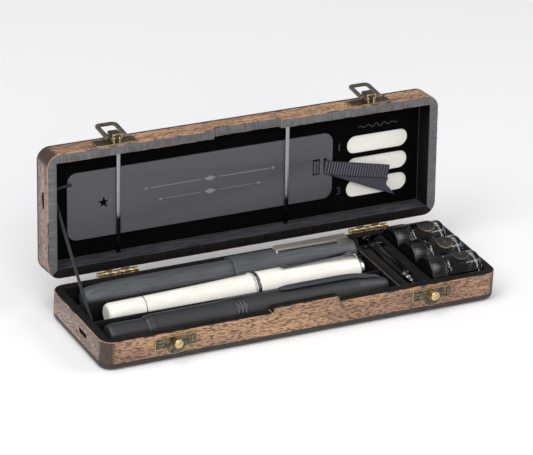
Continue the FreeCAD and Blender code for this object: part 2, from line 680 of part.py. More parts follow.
def latch_lever(centre):
    """A short channel, open towards the rim, with two cheeks and a web."""
    z0 = plate_low + 0.9
    z1 = z0 + lever_length
    outer_y = plate_front - 0.2 - lever_height
    shape = box(centre - lever_half, centre + lever_half, outer_y, plate_front - 0.2, z0, z1)
    corner = [e for e in shape.Edges
              if abs(e.tangentAt(e.FirstParameter).z) > 0.9 and e.BoundBox.YMax < outer_y + 0.1]
    shape = shape.makeFillet(0.5, corner)
    shape = shape.cut(box(centre - lever_half + sheet, centre + lever_half - sheet, outer_y + sheet,
                          plate_front + 1, z0 - 1, z1 + 1))
    a, b = at(centre, lever_axis), at(centre, bail_axis)
    shape = shape.cut(rod(latch_pin_radius + latch_pin_gap, V(centre - 4, a.y, a.z), X, 8))
    shape = shape.cut(rod(bail_pin_radius + latch_pin_gap, V(centre - 4, b.y, b.z), X, 8))
    # the cheeks' lower corners by the rim are round, so that the lever can swing up on its pin
    for s in (-1, 1):
        x0 = centre + s * (lever_half - sheet / 2) - sheet / 2 - 0.1
        square = box(x0, x0 + sheet + 0.2, a.y, plate_front + 0.1, z0 - 0.1, a.z)
        keep = rod(lever_pin_out - 0.2, V(x0, a.y, a.z), X, sheet + 0.2)
        shape = shape.cut(square.cut(keep))
    return shape


def latch_bail(centre):
    """A flat D-shaped strip thrown back over the lid, with two inward pins in the lever's cheeks."""
    a = at(centre, bail_axis)
    y0, y1 = a.y - bail_thickness / 2, a.y + bail_thickness / 2

    def outline(inset):
        half = bail_half - inset
        shape = box(centre - half, centre + half, y0 - (1 if inset else 0), y1 + (1 if inset else 0),
                    a.z - (5 if inset else 0.9), a.z + bail_length - inset)
        far = [e for e in shape.Edges
               if abs(e.tangentAt(e.FirstParameter).y) > 0.9 and e.BoundBox.ZMin > a.z + 1]
        return shape.makeFillet(bail_round - inset * 0.8, far)

    shape = outline(0).cut(outline(bail_strip))
    for s in (-1, 1):
        inner, outer = lever_half - sheet, bail_half - 0.4
        x0 = centre + inner if s > 0 else centre - outer
        shape = shape.fuse(rod(bail_pin_radius, V(x0, a.y, a.z), X, outer - inner))
    shape = shape.removeSplitter()
    shape.rotate(a, X, bail_lift)
    return shape


def catch_plate(centre):
    top = rim - catch_below_rim
    plate = slab_front(centre, catch_width, top - catch_height, top, 0.7)
    round_part = rod(catch_round, V(centre, plate_front, stud_z - 0.3), Y, plate_thickness)
    round_part = round_part.cut(box(centre - catch_width, centre + catch_width, plate_front - 1,
                                    -half_width + 1, top - catch_height / 2, rim + catch_width))
    plate = plate.fuse(round_part).removeSplitter()
    plate = plate.cut(rod(stud_neck + screw_gap, V(centre, plate_front - 1, stud_z), Y, 3))
    return drilled(plate, catch_screws, Y)


def catch_stud(centre):
    neck_out = plate_front - stud_neck_length
    neck = rod(stud_neck, V(centre, neck_out, stud_z), Y, stud_neck_length + plate_thickness + 2.0)
    head = rod(stud_head, V(centre, neck_out - stud_head_length, stud_z), Y, stud_head_length)
    head = head.makeFillet(0.6, [e for e in head.Edges if e.BoundBox.YMax < neck_out - 0.1])
    return neck.fuse(head).removeSplitter()


def build_latches():
    pins = []
    for side, centre in latch_places:
        save(f"{side}_latch_plate", latch_plate(centre), True)
        save(f"{side}_latch_lever", latch_lever(centre), True)
        save(f"{side}_latch_bail", latch_bail(centre), True)
        save(f"{side}_catch_plate", catch_plate(centre))
        a = at(centre, lever_axis)
        pins.append(rod(latch_pin_radius, V(centre - lever_half, a.y, a.z), X, 2 * lever_half))
    save("latch_pins", group(pins), True)
    save("latch_screws", group([screw(c, Y) for c in latch_screws]), True)
    save("catch_studs", group([catch_stud(c) for _, c in latch_places]))
    save("catch_screws", group([screw(c, Y) for c in catch_screws]))


# ---- stay lace ------------------------------------------------------------------------------------
def build_stay():
    """The taut lace between the two slots, with a short stub through each."""
    x = -inner_x + lace_inset
    lower = V(x, slot_y, rim - slot_from_rim)
    turn = FreeCAD.Rotation(X, -open_angle)
    hinge = V(0, axis_y, axis_z)
    upper = turn.multVec(V(x, slot_y, rim + slot_from_rim) - hinge) + hinge
    run = upper - lower
    length = run.Length
    lean = math.degrees(math.atan2(run.z, run.y))
    strip = box(x - lace_thickness / 2, x + lace_thickness / 2, 0, length, -lace_width / 2, lace_width / 2)
    strip.rotate(V(x, 0, 0), X, lean)
    strip.translate(V(0, lower.y, lower.z))
    shape = strip
    for centre, tilt in ((lower, 0), (upper, -open_angle)):
        stub = box(-half_length + 0.5, x + lace_thickness / 2, -lace_width / 2, lace_width / 2,
                   -lace_thickness / 2, lace_thickness / 2)
        stub.rotate(V(0, 0, 0), X, tilt)
        stub.translate(V(0, centre.y, centre.z))
        shape = shape.fuse(stub)
    save("stay_lace", shape.removeSplitter())


def main():
    build_shell()
    build_inserts()
    build_back_pen()
    build_middle_pen()
    build_front_pen()
    build_vials()
    build_syringe()
    build_lid_inside()
    build_hinges()
    build_latches()
    build_stay()
    os.makedirs("parts", exist_ok=True)
    for name, shape in parts.items():
        shape.exportStep(f"parts/{name}.step")
        print(name, len(shape.Solids), "solids", round(sum(s.Volume for s in shape.Solids), 1), "mm3",
              "valid" if shape.isValid() else "NOT VALID")
    print(len(parts), "nodes")


main()
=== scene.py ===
"""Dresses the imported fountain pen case: wood, hardware, pens, ink vials, syringe, ribbon and lace.

Shapes are drawn in millimetres with the lid closed, as the case is made, and put in the row frame by piece().
"""
import json
import math

import bmesh
import bpy
from mathutils import Matrix, Vector


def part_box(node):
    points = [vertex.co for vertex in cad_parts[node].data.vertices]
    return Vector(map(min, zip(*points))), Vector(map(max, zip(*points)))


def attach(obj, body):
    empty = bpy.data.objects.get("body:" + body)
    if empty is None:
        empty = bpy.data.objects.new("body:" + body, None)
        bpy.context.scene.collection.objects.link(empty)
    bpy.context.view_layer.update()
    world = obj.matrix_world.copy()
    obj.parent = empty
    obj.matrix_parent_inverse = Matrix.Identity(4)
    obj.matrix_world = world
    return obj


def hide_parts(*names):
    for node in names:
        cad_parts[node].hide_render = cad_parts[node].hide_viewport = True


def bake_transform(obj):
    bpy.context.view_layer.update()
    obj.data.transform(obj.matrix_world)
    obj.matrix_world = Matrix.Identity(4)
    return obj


bl_info = {
    "name": "Fountain pen case",
    "version": (1, 0, 0),
    "blender": (4, 5, 0),
    "location": "View3D > Sidebar > Pen case",
    "description": "Makes the finished pen case around its packed model",
    "category": "Object",
}

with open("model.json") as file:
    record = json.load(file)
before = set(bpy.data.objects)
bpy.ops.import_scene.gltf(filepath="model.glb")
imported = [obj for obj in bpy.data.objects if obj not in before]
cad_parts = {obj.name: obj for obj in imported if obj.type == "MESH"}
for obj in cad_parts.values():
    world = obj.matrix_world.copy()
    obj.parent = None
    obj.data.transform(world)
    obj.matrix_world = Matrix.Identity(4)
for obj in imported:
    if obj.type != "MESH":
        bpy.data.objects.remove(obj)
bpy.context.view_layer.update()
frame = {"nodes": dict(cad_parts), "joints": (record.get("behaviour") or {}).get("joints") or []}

MM = 0.001
QUIET = 1e-4                # lengths in millimetres that count as nothing
FIT_GAP = 0.2               # inserts to the walls around them
LACE_LINE = -6.5            # the lace slots' place along Y
SLOT_FROM_RIM = 5.4         # and from the walls' rims
RIM_RELIEF = 0.03           # keeps the closed rims from lying in one plane
RIB_SPACING = 1.35          # the ribbon's cross ribs
RIBBON_WIDTH, RIBBON_THICKNESS = 6.5, 0.32


# ---- places read from the frame -------------------------------------------------------------------
def joint(name):
    return next(j for j in frame["joints"] if j["name"] == name)


hinge = Vector(joint("lid_hinge")["pos_m"]) / MM
open_angle = math.radians(-joint("lid_hinge")["range_deg"][0])


def swung(angle):
    """Turns closed millimetres about the hinge by an angle, as the lid turns when it opens."""
    return Matrix.Translation(hinge) @ Matrix.Rotation(-angle, 4, "X") @ Matrix.Translation(-hinge)


LID = swung(open_angle)
SCALE = Matrix.Scale(MM, 4)


def drawn_box(node, on_lid=False):
    """A node's lowest and highest corners in closed millimetres."""
    back = LID.inverted() if on_lid else Matrix.Identity(4)
    points = [back @ (v.co / MM) for v in frame["nodes"][node].data.vertices]
    return (Vector(map(min, *points)), Vector(map(max, *points)))


half_length, half_width, panel = drawn_box("base_bottom_panel")[1]
rim = drawn_box("base_right_wall")[1].z
inner_x = FIT_GAP - drawn_box("pen_bay_liner")[0].x
wall = half_length - inner_x
inner_y = half_width - wall


# ---- shape helpers --------------------------------------------------------------------------------
def linear(colour):
    """An sRGB hex colour as linear red, green and blue."""
    values = [int(colour[n:n + 2], 16) / 255 for n in (1, 3, 5)]
    return tuple(v / 12.92 if v <= 0.04045 else ((v + 0.055) / 1.055) ** 2.4 for v in values)


def tinted(colour):
    return (*linear(colour), 1.0)


def piece(name, bm, body, materials, instead=(), on_lid=False, crease=32):
    """Makes a piece from a bmesh drawn in closed millimetres; its drawn place stays as an attribute."""
    bmesh.ops.recalc_face_normals(bm, faces=bm.faces)
    mesh = bpy.data.meshes.new(name)
    bm.to_mesh(mesh)
    bm.free()
    place = mesh.attributes.new("place", "FLOAT_VECTOR", "POINT")
    for n, v in enumerate(mesh.vertices):
        place.data[n].vector = v.co
    mesh.transform(SCALE @ LID if on_lid else SCALE)
    mesh.shade_smooth()
    mesh.set_sharp_from_angle(angle=math.radians(crease))
    for material in materials if isinstance(materials, (list, tuple)) else [materials]:
        mesh.materials.append(material)
    obj = bpy.data.objects.new(name, mesh)
    bpy.context.scene.collection.objects.link(obj)
    if body:
        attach(obj, body)
    if instead:
        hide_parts(*instead)
    return obj


def traced(node, on_lid=False):
    """A node's own shape as a clean bmesh in closed millimetres."""
    bm = bmesh.new()
    bm.from_mesh(frame["nodes"][node].data)
    bm.transform((LID.inverted() if on_lid else Matrix.Identity(4)) @ Matrix.Scale(1 / MM, 4))
    bmesh.ops.remove_doubles(bm, verts=bm.verts, dist=0.003)
    bmesh.ops.dissolve_limit(bm, angle_limit=math.radians(0.6), verts=bm.verts, edges=bm.edges)
    return bm


def soften(bm, width, segments=2, finish=-1, pick=lambda a, b: True, angle=40):
    """Rounds sharp edges; finish is the material of the new faces."""
    edges = [e for e in bm.edges if len(e.link_faces) == 2
             and e.calc_face_angle(0) > math.radians(angle) and pick(e.verts[0].co, e.verts[1].co)]
    bmesh.ops.bevel(bm, geom=edges, offset=width, offset_type="OFFSET", segments=segments, profile=0.5,
                    affect="EDGES", clamp_overlap=False, material=finish)
    return bm


def rounded(corners, steps=4):
    """An outline of (along, out, round) corners, each with a curved turn that starts that far from it."""
    outline = []
    for n, (x, r, turn) in enumerate(corners):
        here = Vector((x, r))
        if turn <= 0 or n in (0, len(corners) - 1):
            outline.append(here)
            continue
        before, after = (Vector(corners[m][:2]) - here for m in (n - 1, n + 1))
        a = here + before.normalized() * min(turn, before.length * 0.48)
        b = here + after.normalized() * min(turn, after.length * 0.48)
        for s in range(steps + 1):
            t = s / steps
            outline.append(a * (1 - t) ** 2 + here * 2 * t * (1 - t) + b * t ** 2)
    return outline


def turned(bm, corners, y, z, steps=96, ribs=0, rib_depth=0.0, rib_from=0.0, rib_to=0.0):
    """Adds a body of revolution about the line along X at (y, z). Ribs are cut between two places."""
    rings = []
    for x, r in rounded(corners):
        if r < QUIET:
            rings.append([bm.verts.new((x, y, z))])
            continue
        ring = []
        for n in range(steps):
            a = 2 * math.pi * n / steps
            out = r
            if ribs and rib_from < x < rib_to:
                out -= rib_depth * (0.5 - 0.5 * math.cos(a * ribs))
            ring.append(bm.verts.new((x, y + out * math.cos(a), z + out * math.sin(a))))
        rings.append(ring)
    for one, two in zip(rings, rings[1:]):
        for n in range(steps):
            m = (n + 1) % steps
            if len(one) == 1 and len(two) > 1:
                bm.faces.new((one[0], two[n], two[m]))
            elif len(two) == 1 and len(one) > 1:
                bm.faces.new((one[n], two[0], one[m]))
            elif len(one) > 1:
                bm.faces.new((one[n], two[n], two[m], one[m]))
    return bm


def closed(outline):
    """The outline run back to its start, for a hollow body."""
    return outline + [outline[0]]


def swept(bm, path, section, sides=(0, 1, 0), ends=True):
    """Sweeps a closed section, as (across, up) points for each place, along a path; across stays near sides."""
    across = Vector(sides)
    rings = []
    for n, here in enumerate(path):
        along = (path[min(n + 1, len(path) - 1)] - path[max(n - 1, 0)]).normalized()
        side = (across - along * across.dot(along)).normalized()
        up = along.cross(side)
        shape = section(n / (len(path) - 1)) if callable(section) else section
        rings.append([bm.verts.new(here + side * a + up * b) for a, b in shape])
    count = len(rings[0])
    for one, two in zip(rings, rings[1:]):
        for n in range(count):
            m = (n + 1) % count
            bm.faces.new((one[n], one[m], two[m], two[n]))
    if ends:
        bm.faces.new(rings[0])
        bm.faces.new(list(reversed(rings[-1])))
    return bm


def flat_oval(width, thickness, steps=16, squareness=4):
    """The section of a flat band with full round edges."""
    points = []
    for n in range(steps):
        a = 2 * math.pi * n / steps
        c, s = math.cos(a), math.sin(a)
        p = 2 / squareness
        points.append((width / 2 * math.copysign(abs(c) ** p, c),
                       thickness / 2 * math.copysign(abs(s) ** p, s)))
    return points


def smooth_path(points, steps=8):
    """A smooth curve through given points."""
    points = [Vector(p) for p in points]
    ends = [points[0] * 2 - points[1]] + points + [points[-1] * 2 - points[-2]]
    path = []
    for n in range(1, len(ends) - 2):
        a, b, c, d = ends[n - 1:n + 3]
        for s in range(steps):
            t = s / steps
            path.append(0.5 * ((2 * b) + (c - a) * t + (2 * a - 5 * b + 4 * c - d) * t ** 2
                               + (3 * b - a - 3 * c + d) * t ** 3))
    path.append(points[-1])
    return path


def text_mesh(bm, text, size, place, depth):
    """Adds a numeral as a thin solid; place carries it from its own plane to the drawing."""
    curve = bpy.data.curves.new("numeral", "FONT")
    curve.body = text
    curve.size = size
    curve.align_x, curve.align_y = "CENTER", "CENTER"
    curve.extrude = depth / 2
    holder = bpy.data.objects.new("numeral", curve)
    mesh = bpy.data.meshes.new_from_object(holder)
    cut = bmesh.new()
    cut.from_mesh(mesh)
    for v in cut.verts:
        v.co = place(v.co)
    cut.to_mesh(mesh)
    cut.free()
    bm.from_mesh(mesh)
    bpy.data.objects.remove(holder)
    bpy.data.meshes.remove(mesh)
    return bm


# ---- material helpers -----------------------------------------------------------------------------
def add(tree, kind, inputs, out=0, **settings):
    """Adds a node with its settings and links and gives its output, or all of them when out is None.

    An input is a value, an sRGB hex colour or another node's output.
    """
    node = tree.nodes.new(kind)
    for name, value in settings.items():
        setattr(node, name, value)
    for name, value in inputs.items():
        if isinstance(value, bpy.types.NodeSocket):
            tree.links.new(value, node.inputs[name])
        else:
            node.inputs[name].default_value = tinted(value) if isinstance(value, str) else value
    return node.outputs if out is None else node.outputs[out]


def surface(name, colour, roughness, **more):
    """A material with its Principled shader: (material, tree, shader)."""
    material = bpy.data.materials.new(name)
    material.use_nodes = True
    tree = material.node_tree
    shader = tree.nodes["Principled BSDF"]
    shader.inputs["Base Color"].default_value = tinted(colour)
    shader.inputs["Roughness"].default_value = roughness
    for key, value in more.items():
        shader.inputs[key.replace("_", " ")].default_value = value
    return material, tree, shader


def blotches(tree, period, detail=2.0, rough=0.5):
    """A random pattern from 0 to 1 on the drawn piece, about a period of (x, y, z) millimetres long."""
    place = add(tree, "ShaderNodeAttribute", {}, "Vector", attribute_name="place")
    scaled = add(tree, "ShaderNodeVectorMath", {0: place, 1: period}, operation="DIVIDE")
    return add(tree, "ShaderNodeTexNoise",
               {"Vector": scaled, "Scale": 1.0, "Detail": detail, "Roughness": rough}, noise_dimensions="3D")


def turning(tree, amount, start, end, one, two, share=1.0):
    """Colour one turning smoothly to colour two, by a share, as an amount goes from start to end."""
    factor = add(tree, "ShaderNodeMapRange", {"Value": amount, "From Min": start, "From Max": end},
                 interpolation_type="SMOOTHSTEP")
    if share < 1:
        factor = add(tree, "ShaderNodeMath", {0: factor, 1: share}, operation="MULTIPLY")
    return add(tree, "ShaderNodeMix", {0: factor, 6: one, 7: two}, 2, data_type="RGBA")


def dress(tree, shader, colour=None, gloss=None, relief=None):
    """Links a colour, a roughness as (pattern, least, most) and a relief as (height, millimetres, strength)."""
    if colour:
        tree.links.new(colour, shader.inputs["Base Color"])
    if gloss:
        pattern, least, most = gloss
        rough = add(tree, "ShaderNodeMapRange", {"Value": pattern, "To Min": least, "To Max": most})
        tree.links.new(rough, shader.inputs["Roughness"])
    if relief:
        height, depth, strength = relief
        normal = add(tree, "ShaderNodeBump", {"Height": height, "Distance": depth * MM, "Strength": strength})
        tree.links.new(normal, shader.inputs["Normal"])


def grained(name, base, roughness, pattern, spread, colours, gloss=None, relief=None, **more):
    """A material whose colour, gloss and relief all follow one pattern, given as (period, detail, rough)."""
    material, tree, shader = surface(name, base, roughness, **more)
    grain = blotches(tree, *pattern)
    dress(tree, shader, turning(tree, grain, *spread, *colours), gloss and (grain, *gloss),
          relief and (grain, *relief))
    return material


def shaded(colour, factor):
    """A hex colour with its light made stronger or weaker."""
    return as_hex([v * factor for v in linear(colour)])


def drawn_axes(tree):
    """The drawn place's x, y and z in millimetres."""
    place = add(tree, "ShaderNodeAttribute", {}, "Vector", attribute_name="place")
    return add(tree, "ShaderNodeSeparateXYZ", {0: place}, None)


def past_outline(tree, axes, inset, nearest):
    """How far a place lies past the case's outline drawn in by an inset, by its nearer or farther side."""
    reach = []
    for axis, half in ((0, half_length), (1, half_width)):
        size = add(tree, "ShaderNodeMath", {0: axes[axis]}, operation="ABSOLUTE")
        reach.append(add(tree, "ShaderNodeMath", {0: size, 1: half - inset}, operation="SUBTRACT"))
    return add(tree, "ShaderNodeMath", {0: reach[0], 1: reach[1]}, operation=nearest)


# ---- what a user would change ---------------------------------------------------------------------
def colour_choice(name, description, colour):
    return bpy.props.FloatVectorProperty(name=name, description=description, subtype="COLOR", size=3,
                                         min=0, max=1, default=linear(colour))


class PenCaseWood(bpy.types.PropertyGroup):
    """The wood's colours and how far its edges are worn."""
    light: colour_choice("Light wood", "Colour between the pores", "#B9926F")
    dark: colour_choice("Dark wood", "Colour of the darker figure", "#94705A")
    pores: colour_choice("Pores", "Colour of the short open pores", "#38241A")
    edge_round: bpy.props.FloatProperty(name="Edge rounding", description="Sanded edges, in mm",
                                        default=0.3, min=0.05, max=0.4)
    edge_wear: bpy.props.FloatProperty(name="Edge wear", description="How much bare wood shows on edges",
                                       subtype="FACTOR", default=0.75, min=0, max=1)


class PenCaseContents(bpy.types.PropertyGroup):
    """The colours of the pens and inks."""
    back_pen: colour_choice("Back pen", "Brushed satin barrel", "#45474B")
    middle_pen: colour_choice("Middle pen", "Polished barrel", "#E9E6DE")
    front_pen: colour_choice("Front pen", "Matt lacquered barrel", "#26272A")
    ink: colour_choice("Ink", "Ink in the vials", "#07070A")
    cap_ribs: bpy.props.IntProperty(name="Cap ribs", description="Grip ribs round a vial's cap",
                                    default=48, min=12, max=72)


class PenCaseStage(bpy.types.PropertyGroup):
    """Camera and light."""
    azimuth: bpy.props.FloatProperty(name="Azimuth", description="Turn of the view from the front",
                                     subtype="ANGLE", default=math.radians(-27.955))
    elevation: bpy.props.FloatProperty(name="Elevation", description="Height of the view",
                                       subtype="ANGLE", default=math.radians(26.036))
    roll: bpy.props.FloatProperty(name="Roll", description="Tilt of the camera about its view",
                                  subtype="ANGLE", default=math.radians(3.311))
    distance: bpy.props.FloatProperty(name="Distance", description="Camera to what it looks at",
                                      unit="LENGTH", default=1.4946, min=0.2)
    lens: bpy.props.FloatProperty(name="Lens", description="Focal length in mm", default=231.5, min=20)
    light: bpy.props.FloatProperty(name="Light", description="Strength of the studio's lights",
                                   default=1.0, min=0)


def choice(group):
    return getattr(bpy.context.scene, group)


def as_hex(colour):
    """A linear colour as sRGB hex, so that a chosen colour can be mixed like the others."""
    srgb = [12.92 * v if v <= 0.0031308 else 1.055 * v ** (1 / 2.4) - 0.055 for v in colour]
    return "#" + "".join(f"{round(max(0, min(1, v)) * 255):02X}" for v in srgb)


# ---- wood -----------------------------------------------------------------------------------------
def oiled_walnut(name, along):
    """Planed and oiled walnut-like wood: soft sheen, and open pores that show as short dark dashes."""
    wood = choice("pen_case_wood")
    light, dark, pore = (as_hex(c) for c in (wood.light, wood.dark, wood.pores))
    # painted light: the end walls get the same walnut drawn paler and greyer than on the front walls
    if along == "y":        # end walls are paler and greyer
        light, dark = "#B49C8C", "#86716A"
    material, tree, shader = surface(name, light, 0.5, IOR=1.5)

    def period(length, width):
        return (length, width, width) if along == "x" else (width, length, width)

    figure = blotches(tree, period(38, 5), 3.0)
    fibre = blotches(tree, period(9, 0.5), 3.0, 0.6)
    dashes = blotches(tree, period(2.1, 0.45), 2.0, 0.6)
    colour = turning(tree, figure, 0.36, 0.66, light, dark)
    colour = turning(tree, fibre, 0.42, 0.68, colour, dark, 0.5)
    dash = add(tree, "ShaderNodeMapRange", {"Value": dashes, "From Min": 0.48, "From Max": 0.6},
               interpolation_type="SMOOTHSTEP")
    share = add(tree, "ShaderNodeMath", {0: dash, 1: 0.9}, operation="MULTIPLY")
    colour = add(tree, "ShaderNodeMix", {0: share, 6: colour, 7: pore}, 2, data_type="RGBA")
    # dark stain where the walls meet: both distances to a corner are small there
    axes = drawn_axes(tree)
    near = past_outline(tree, axes, 7.5, "MINIMUM")
    # the left corners are burnt further than the right ones
    left = add(tree, "ShaderNodeMapRange", {"Value": axes[0], "From Min": 20, "From Max": -20},
               interpolation_type="SMOOTHSTEP")
    near = add(tree, "ShaderNodeMath", {0: near, 1: left}, operation="ADD")
    ragged = add(tree, "ShaderNodeMath", {0: blotches(tree, (2, 2, 2)), 1: 2.2}, operation="MULTIPLY")
    near = add(tree, "ShaderNodeMath", {0: near, 1: ragged}, operation="ADD")
    colour = turning(tree, near, 3.6, 5.8, colour, "#2A201D", 0.88)
    raised = add(tree, "ShaderNodeMath", {0: fibre, 1: 0.3}, operation="MULTIPLY")
    height = add(tree, "ShaderNodeMath", {0: raised, 1: dash}, operation="SUBTRACT")
    dress(tree, shader, colour, (fibre, 0.42, 0.62), (height, 0.06, 0.6))
    return material


def stained_end_cut(name, along, dark, pale, gloss):
    """Black-stained sawn rim: matt, with the saw's fine marks across it; given pale colours it is a grey copy,
    painted reflection of the bright floor.
    """
    material, tree, shader = surface(name, dark, 0.6, IOR=1.5, Specular_IOR_Level=gloss)
    marks = blotches(tree, (0.42, 7, 7) if along == "x" else (7, 0.42, 7), 3.0, 0.6)
    colour = turning(tree, marks, 0.35, 0.7, dark, pale)
    colour = turning(tree, blotches(tree, (9, 9, 9)), 0.5, 0.8, colour, dark)
    dress(tree, shader, colour, None, (marks, 0.04, 0.6))
    return material


def black_stained_wood(name, colour="#0B0B0C", along="x", pale="#1C1A1A"):
    """Black water stain on fine wood: a low satin, the grain still felt."""
    period = (9, 0.6, 0.6) if along == "x" else (0.6, 9, 0.6)
    return grained(name, colour, 0.5, (period, 3.0, 0.6), (0.35, 0.75), (colour, pale), (0.4, 0.65), (0.05, 0.6),
                   IOR=1.5, Specular_IOR_Level=0.2)


def bare_edge(name):
    """Sanded-through edge: the stain is rubbed off in patches and the orange-brown wood shows."""
    worn = 0.3 * choice("pen_case_wood").edge_wear
    return grained(name, "#6A452F", 0.5, ((6, 6, 3), 4.0, 0.6), (0.62 - worn, 0.78 - worn),
                   ("#2A2422", "#A97C60"), None, (0.05, 0.5), IOR=1.5)


def burnished_panel(name):
    """Dark stained panel edge, rounded and rubbed: grey-brown, redder low on the round."""
    material, tree, shader = surface(name, "#2A2625", 0.5, IOR=1.5, Specular_IOR_Level=0.3)
    grain = blotches(tree, (7, 7, 0.35), 3.0, 0.6)
    colour = turning(tree, grain, 0.35, 0.72, "#252221", "#4A4340")
    axes = drawn_axes(tree)
    above = add(tree, "ShaderNodeMath", {0: axes[2], 1: rim}, operation="SUBTRACT")
    depth = add(tree, "ShaderNodeMath", {0: above}, operation="ABSOLUTE")
    # worn low on the round, in patches, and only along the outline
    worn = 0.85
    for amount, start, end in ((depth, rim - 1.7, rim - 0.5), (blotches(tree, (5, 5, 2), 3.0), 0.35, 0.6),
                               (past_outline(tree, axes, 0, "MAXIMUM"), -2.2, -0.9)):
        part = add(tree, "ShaderNodeMapRange", {"Value": amount, "From Min": start, "From Max": end},
                   interpolation_type="SMOOTHSTEP")
        worn = add(tree, "ShaderNodeMath", {0: part, 1: worn}, operation="MULTIPLY")
    colour = add(tree, "ShaderNodeMix", {0: worn, 6: colour, 7: "#5E3E31"}, 2, data_type="RGBA")
    dress(tree, shader, colour, None, (grain, 0.06, 0.7))
    return material


def cut_felt(name, colour, fluff):
    """Pressed wool felt: no gloss, a soft sheen and a random nap, coarser than wool's own so that it shows."""
    return grained(name, colour, 0.95, ((0.28, 0.28, 0.28), 4.0, 0.7), (0.3, 0.75), (colour, fluff), None,
                   (0.25, 0.8), IOR=1.45, Specular_IOR_Level=0.1, Sheen_Weight=0.04, Sheen_Roughness=0.5)


def wove_paper(name):
    """Uncoated cream paper: matt with a faint mottle."""
    return grained(name, "#F3EEE4", 0.85, ((0.8, 0.8, 0.8), 3.0, 0.6), (0.3, 0.7), ("#F7F3EA", "#FBF8F1"), None,
                   (0.006, 0.4), IOR=1.5)


def flocked_board(name):
    """Board faced with black flock paper: it swallows light, and only its cut edges show."""
    return grained(name, "#040405", 0.95, ((0.3, 0.3, 0.3), 3.0, 0.7), (0.3, 0.75), ("#030304", "#0A0A0B"), None,
                   (0.1, 0.6), IOR=1.45, Specular_IOR_Level=0.06)


def cut_board_edge(name):
    """The board's sawn edge: grey-brown fibre."""
    return grained(name, "#4A433E", 0.8, ((1.2, 1.2, 0.3), 3.0), (0.3, 0.7), ("#5A524B", "#8E8478"), IOR=1.5)


# ---- metal ----------------------------------------------------------------------------------------
def anodised_sheet(name):
    """Black anodised aluminium sheet, bead-finished: dark grey satin with an even, faint grain."""
    return grained(name, "#5C5C5F", 0.45, ((4.0, 0.25, 0.25), 3.0, 0.6), (0.2, 0.8), ("#58585B", "#616164"),
                   (0.38, 0.5), (0.01, 0.4), Metallic=0.5)


def lacquered_brass(name, colour="#C8B690", dull="#76664A", roughness=0.26):
    """Rolled brass under clear lacquer: bright and warm, a little uneven."""
    return grained(name, colour, roughness, ((1.6, 1.6, 1.6), 3.0, 0.6), (0.35, 0.75), (colour, dull),
                   (roughness, roughness + 0.14), (0.02, 0.4), Metallic=1.0)


def antique_brass(name, colour="#756A58", dark="#353029"):
    """Pressed brass, blackened and relieved: dark in its hollows, dull gold where it was rubbed."""
    return grained(name, colour, 0.36, ((2.4, 2.4, 2.4), 4.0, 0.6), (0.36, 0.74), (colour, dark), (0.3, 0.5),
                   (0.03, 0.5), Metallic=0.95)


def rubbed_brass_edge(name):
    """Edges of the same fittings, rubbed bright."""
    return lacquered_brass(name, "#F0DAAC", "#BFA06A", 0.28)


def brushed_steel(name):
    """Stainless steel, its polishing lines along the part drawn coarser than real ones so that they show."""
    return grained(name, "#A9A8A5", 0.3, ((7, 0.12, 0.12), 2.0, 0.6), (0.3, 0.7), ("#C4BEB2", "#EFEBE2"),
                   (0.36, 0.5), (0.01, 0.5), Metallic=1.0)


def bright_chrome(name, colour="#B6B8BB", smallest=0.04, largest=0.14):
    """Polished chrome plate: a mirror with faint handling marks."""
    material, tree, shader = surface(name, colour, smallest, Metallic=1.0)
    dress(tree, shader, gloss=(blotches(tree, (3, 3, 3), 3.0), smallest, largest))
    return material


# ---- resin, lacquer, glass ------------------------------------------------------------------------
def brushed_resin(name, colour):
    """Fibre-filled resin, brushed along the barrel: charcoal satin."""
    return grained(name, colour, 0.4, ((12, 0.3, 0.3), 3.0, 0.6), (0.3, 0.72),
                   (shaded(colour, 0.62), shaded(colour, 1.5)), (0.34, 0.48), (0.015, 0.5), IOR=1.5)


def polished_resin(name, colour):
    """Turned and polished resin: opaque, glossy under a clear surface."""
    return grained(name, colour, 0.16, ((8, 3, 3), 3.0), (0.3, 0.7), (shaded(colour, 0.95), shaded(colour, 1.05)),
                   (0.12, 0.24), IOR=1.5, Coat_Weight=0.4, Coat_Roughness=0.06)


def matt_lacquer(name, colour):
    """Matt black lacquer on brass: fine orange peel, slightly grey where it catches light."""
    return grained(name, colour, 0.45, ((0.5, 0.3, 0.3), 3.0, 0.6), (0.3, 0.7), (colour, shaded(colour, 1.25)),
                   (0.36, 0.48), (0.01, 0.4), IOR=1.5)


def moulded_black(name, roughness=0.12):
    """Injection-moulded black phenolic: glossy with a faint flow."""
    return grained(name, "#0A0A0B", roughness, ((4, 2, 2), 3.0), (0.3, 0.7), ("#08080A", "#101012"),
                   (roughness, roughness + 0.1), IOR=1.55)


def clear_glass(name):
    """Drawn soda-lime glass: clear, very slightly grey."""
    material, tree, shader = surface(name, "#F4F7F7", 0.02, IOR=1.5, Transmission_Weight=1.0)
    dress(tree, shader, gloss=(blotches(tree, (4, 4, 4)), 0.0, 0.03))
    return material


def liquid_ink(name, colour):
    """Dark fountain pen ink, seen as a body with a wet surface."""
    return grained(name, colour, 0.08, ((5, 5, 5),), (0.3, 0.7), (colour, "#101018"), IOR=1.33,
                   Specular_IOR_Level=0.1)


def coated_label(name):
    """Black printed paper label with a matt film."""
    return grained(name, "#17171A", 0.5, ((0.6, 0.6, 0.6), 3.0), (0.3, 0.7), ("#131315", "#1F1F22"), IOR=1.5)


def gold_print(name):
    """Gold foil print: warm metal, slightly worn."""
    return lacquered_brass(name, "#C9A262", "#8B6B3B", 0.3)


